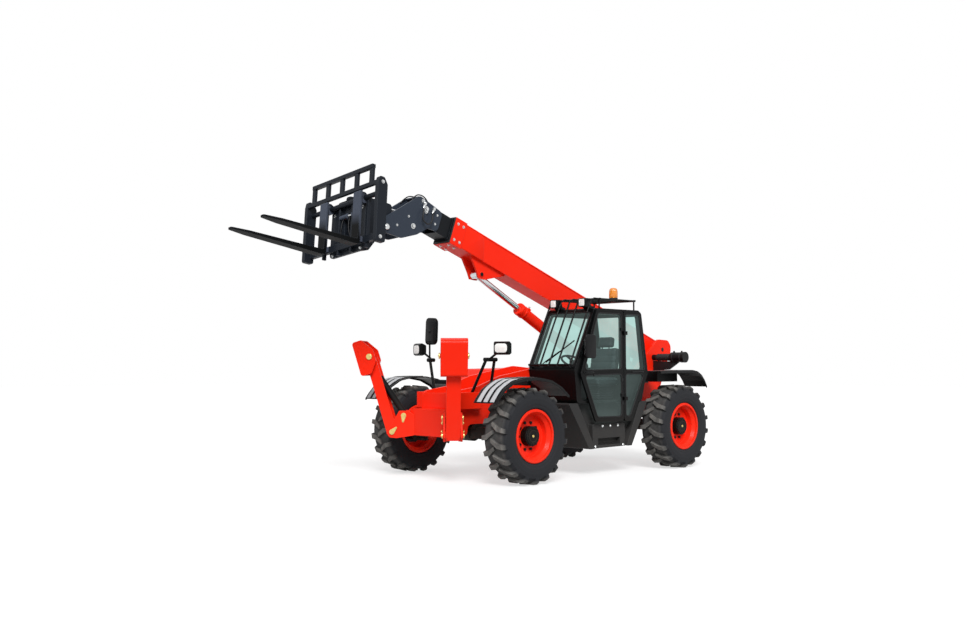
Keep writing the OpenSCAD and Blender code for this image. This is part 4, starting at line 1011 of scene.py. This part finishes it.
pipe(mesh, BASE, smooth_path(LATCH), 8, 10)
pipe(mesh, SCREEN, [(33, y, z) for y, z in SCREEN_SEAL], 10, 8, closed=True)
pipe(mesh, SCREEN, smooth_path(WIPER_ARM), 6, 8)
brick(mesh, SCREEN @ moved(0, 760, 250) @ turned(-50, "X"), (24, -8, -250), (36, 8, 250), 3)
brick(mesh, SCREEN, (10, 490, 2), (40, 550, 34), 8, 3)
piece("cab_trim", mesh, seal_rubber, "chassis")

# %% [markdown]
# The step panel is held by bright bolts, and its slot has a toothed tread that boots can grip. Three
# toothed strips are cut as slabs, as the real tread is cut from plate.

# %% Step
PANEL_Y = 1078
TEETH, TREAD_START, TREAD_END = 15, 1234, 1686
TREAD_FOOT, TOOTH_FOOT, TOOTH_TOP = 402, 414, 424
mesh = bmesh.new()
for x, z in ((1280, 648), (1440, 648), (1600, 648), (1170, 385), (1750, 385)):
    bolt(mesh, BASE @ facing((x, PANEL_Y, z), (0, 1, 0)), 20)
piece("step_bolts", mesh, bright_zinc, "chassis")
mesh = bmesh.new()
teeth = [(TREAD_START, TREAD_FOOT)]
for i in range(TEETH):
    x = TREAD_START + (TREAD_END - TREAD_START) * i / TEETH
    teeth += [(x, TOOTH_FOOT), (x + 9, TOOTH_TOP), (x + 21, TOOTH_TOP), (x + 30, TOOTH_FOOT)]
teeth += [(TREAD_END, TREAD_FOOT)]
for y in (1030, 1052, 1074):
    slab(mesh, BASE @ XZ, list(dict.fromkeys(teeth)), y - 4, y + 3)
piece("step_tread", mesh, cab_black, "chassis")

# %% [markdown]
# Rear corner: rubber plugs close the holes in the tower plates, and the air cleaner has clamps, a ribbed
# boot and a bracket below it. The boot's ribs are turned from a zigzag profile. Behind, two tail lamps
# sit in the counterweight.

# %% Tower and air cleaner
TOWER_Y = 300
CLEANER_X, CLEANER_Z = -560, 1572
CLEANER_BRACKET = [(301, 1372), (600, 1388), (770, 1494), (770, 1508), (301, 1520)]
BOOT_RIBS = [(44, 60)] + [(47 + 8 * (i % 2), 80 + 16 * i) for i in range(14)] + [(44, 310)]
mesh = bmesh.new()
for sign in (1, -1):
    for x, z in ((-600, 1565), (-790, 1695), (-960, 1560)):
        plug = BASE @ facing((x, sign * TOWER_Y, z), (0, sign, 0))
        spun(mesh, plug, [(0, 6), (20, 6), (30, 3), (30, 0)], 28)
spun(mesh, BASE @ facing((CLEANER_X, TOWER_Y, CLEANER_Z), (0, 1, 0)), BOOT_RIBS, 32)
slab(mesh, BASE @ YZ, rounded(CLEANER_BRACKET, 12), CLEANER_X - 14, CLEANER_X + 14, 3)
for y in (672, 810):
    clamp = BASE @ facing((CLEANER_X, y, CLEANER_Z), (0, 1, 0))
    spun(mesh, clamp, [(73, 0), (79, 3), (79, 21), (73, 24)], 40)
    brick(mesh, BASE @ moved(CLEANER_X, y + 12, CLEANER_Z), (-12, -9, 74), (12, 9, 96), 4)
piece("tower_plugs", mesh, seal_rubber, "chassis")
TAIL_LAMP = rounded([(-75, 850), (75, 850), (75, 910), (-75, 910)], 18, 5)
mesh = bmesh.new()
for sign in (1, -1):
    slab(mesh, BASE @ moved(0, sign * 480, 0) @ YZ, TAIL_LAMP, -1014, -1004, 3)
piece("tail_lamps", mesh, red_lens, "chassis")

# %% [markdown]
# The hood on the right side has rubber latches, a grab handle and a dark mesh behind its slots. The mesh
# is woven from thin wires: at this scale a weave that lies in two flat layers looks the same.

# %% Hood furniture
HOOD_HANDLE = [(1420, -1140, 1318), (1424, -1172, 1318), (1520, -1178, 1318), (1616, -1172, 1318),
               (1620, -1140, 1318)]
WIRE_GAP, UPRIGHT_WIRES, LEVEL_WIRES = 22, 30, 13
mesh = bmesh.new()
for x in (1010, 2010):
    brick(mesh, BASE, (x - 26, -1152, 760), (x + 26, -1139, 850), 6, 3)
    spun(mesh, BASE @ facing((x, -1150, 832), (0, -1, 0)), [(0, 8), (12, 8), (15, 4), (15, 0)], 18)
pipe(mesh, BASE, smooth_path(HOOD_HANDLE), 10, 12)
for i in range(UPRIGHT_WIRES):
    x = 946 + i * WIRE_GAP
    pipe(mesh, BASE, [(x, -1122, 1004), (x, -1122, 1276)], 3, 6)
for i in range(LEVEL_WIRES):
    z = 1006 + i * WIRE_GAP
    pipe(mesh, BASE, [(940, -1120, z), (1590, -1120, z)], 3, 6)
piece("hood_furniture", mesh, seal_rubber, "chassis")

# %% [markdown]
# The lift cylinder has a ringed gland where the rod comes out, and two ports with their fittings. They are
# turned on the cylinder's own axis and ride on its barrel.

# %% Lift cylinder
LIFT_BASE, LIFT_ANGLE = (-520, 0, 860), 27.72
LIFT = BASE @ moved(*LIFT_BASE) @ turned(-LIFT_ANGLE, "Y")
LIFT_PORTS = (150, 2760)
GLAND = [(84, 2834), (90, 2838), (90, 2852), (86, 2856), (86, 2896), (90, 2900), (90, 2930), (85, 2936)]
mesh = bmesh.new()
spun(mesh, LIFT @ turned(90, "Y"), GLAND, 48)
for u in LIFT_PORTS:
    brick(mesh, LIFT, (u - 30, -24, 70), (u + 30, 24, 104), 6)
piece("lift_gland", mesh, red, "lift_barrel")
mesh = bmesh.new()
for u in LIFT_PORTS:
    spun(mesh, LIFT @ moved(u, 0, 104), [(18, -2), (18, 12), (14, 14), (14, 30), (0, 30)], 6)
piece("lift_fittings", mesh, bright_zinc, "lift_barrel")

# %% [markdown]
# The fork carriage carries a small side shift cylinder across its opening, and bolts hold its plates.
# Both follow the axes of the carriage, which lean a little sideways.

# %% Carriage
SIDE_SHIFT = CARRIAGE @ moved(500, 0, 20)
mesh = bmesh.new()
spun(mesh, SIDE_SHIFT @ facing((0, -105, 0), (0, 1, 0)),
     [(0, 0), (26, 0), (26, 112), (30, 116), (30, 136), (14, 138)], 28)
for sign in (1, -1):
    brick(mesh, SIDE_SHIFT, (-32, sign * 116 - 12, -22), (14, sign * 116 + 12, 22), 4)
piece("shift_barrel", mesh, fork_steel, "carriage")
mesh = bmesh.new()
spun(mesh, SIDE_SHIFT @ facing((0, 30, 0), (0, 1, 0)), [(13, 0), (13, 78)], 24)
for sign in (1, -1):
    for b in (-410, -300, 90):
        bolt(mesh, CARRIAGE @ facing((470, sign * 270, b), (1, 0, 0)), 24)
    for a, b in ((540, -380), (540, 270)):
        bolt(mesh, CARRIAGE @ facing((a, sign * 725, b), (0, sign, 0)), 26)
piece("carriage_bolts", mesh, bright_zinc, "carriage")

# %% [markdown]
# The ribs on the front slope of the front fenders carry pale strips: a painted highlight, the shine of
# their glossy black moulding. A paint stripe would stay flat; a strip that is offset from the slope's
# curve has an edge that shades.

# %% Fender strips
SLOPE = [(3738, 1012), (3690, 1075), (3600, 1170), (3440, 1258), (3330, 1279)]
STRIP_FOOT, STRIP_TOP, STRIP_HALF, STRIP_Y = 2, 10, 33, (965, 1075, 1185)
crest = [Vector((p.x, p.y)) for p in smooth_path([(x, z, 0) for x, z in SLOPE])]
outer, inner = [], []
for i, p in enumerate(crest):
    way = (crest[min(i + 1, len(crest) - 1)] - crest[max(i - 1, 0)]).normalized()
    out = Vector((way.y, -way.x))
    outer.append(tuple(p + out * STRIP_TOP))
    inner.append(tuple(p + out * STRIP_FOOT))
mesh = bmesh.new()
for place in (BASE, BASE @ MIRROR_Y):
    for y in STRIP_Y:
        slab(mesh, place @ XZ, outer + inner[::-1], y - STRIP_HALF, y + STRIP_HALF, 2.5)
# The pale strips are a painted highlight of the glossy ribs.
piece("fender_strips", mesh, highlight_strip_plastic, "chassis")

# %% [markdown]
# Studio: a white surround, and one broad lamp from the front left and above. More light would make the
# background white too, but it would bleach the paint. Instead the world and the floor show white to the
# camera and to glass and metal, and the light on the object stays at a plain level.

# %% World and lamp
ROOM_LIGHT, SUN_LIGHT = 0.5, 3.1
SUN_WAY, SUN_WIDTH = (0.5, 0.62, 0.62), 24


def shown(tree):
    """One for rays that come from the camera, from shiny faces and through glass; zero for light."""
    path = add(tree, "ShaderNodeLightPath")
    seen = add(tree, "ShaderNodeMath", {0: path.outputs["Is Camera Ray"], 1: path.outputs["Is Glossy Ray"]},
               operation="MAXIMUM")
    seen = add(tree, "ShaderNodeMath", {0: seen.outputs["Value"], 1: path.outputs["Is Transmission Ray"]},
               operation="MAXIMUM")
    return seen.outputs["Value"]


world = bpy.context.scene.world or bpy.data.worlds.new("studio")
bpy.context.scene.world = world
world.use_nodes = True
tree = world.node_tree
tree.nodes.clear()
level = add(tree, "ShaderNodeMapRange", {"Value": shown(tree), "To Min": ROOM_LIGHT, "To Max": 1.0})
sky = add(tree, "ShaderNodeBackground", {"Color": (1, 1, 1, 1), "Strength": level.outputs["Result"]})
tree.links.new(sky.outputs["Background"], add(tree, "ShaderNodeOutputWorld").inputs["Surface"])
sun = bpy.data.objects.new("key", bpy.data.lights.new("key", "SUN"))
sun.data.energy = SUN_LIGHT
sun.data.angle = math.radians(SUN_WIDTH)
sun.rotation_euler = Vector(SUN_WAY).to_track_quat("Z", "Y").to_euler()
bpy.context.scene.collection.objects.link(sun)
print("sun:", SUN_LIGHT, "room:", ROOM_LIGHT)

# %% [markdown]
# The floor is a grey plane that is lifted to white where it is seen, so it keeps the machine's soft
# shadow. It lies a millimetre low, clear of the tyres.

# %% Floor
FLOOR_HALF_M, FLOOR_DROP_M, FLOOR_LIFT = 60, 0.001, 0.62
mesh = bmesh.new()
bmesh.ops.create_grid(mesh, x_segments=1, y_segments=1, size=FLOOR_HALF_M)
floor_data = bpy.data.meshes.new("floor")
mesh.to_mesh(floor_data)
mesh.free()
floor = bpy.data.objects.new("floor", floor_data)
bpy.context.scene.collection.objects.link(floor)
floor.location.z = -FLOOR_DROP_M
white_floor, tree, shader = bare("matt_white_floor", "#b0b0b0", 0.9, Specular_IOR_Level=0.0)
lift = add(tree, "ShaderNodeMath", {0: shown(tree), 1: FLOOR_LIFT}, operation="MULTIPLY")
shader.inputs["Emission Color"].default_value = (1, 1, 1, 1)
tree.links.new(lift.outputs["Value"], shader.inputs["Emission Strength"])
floor_data.materials.append(white_floor)
print("floor half width in metres:", FLOOR_HALF_M)
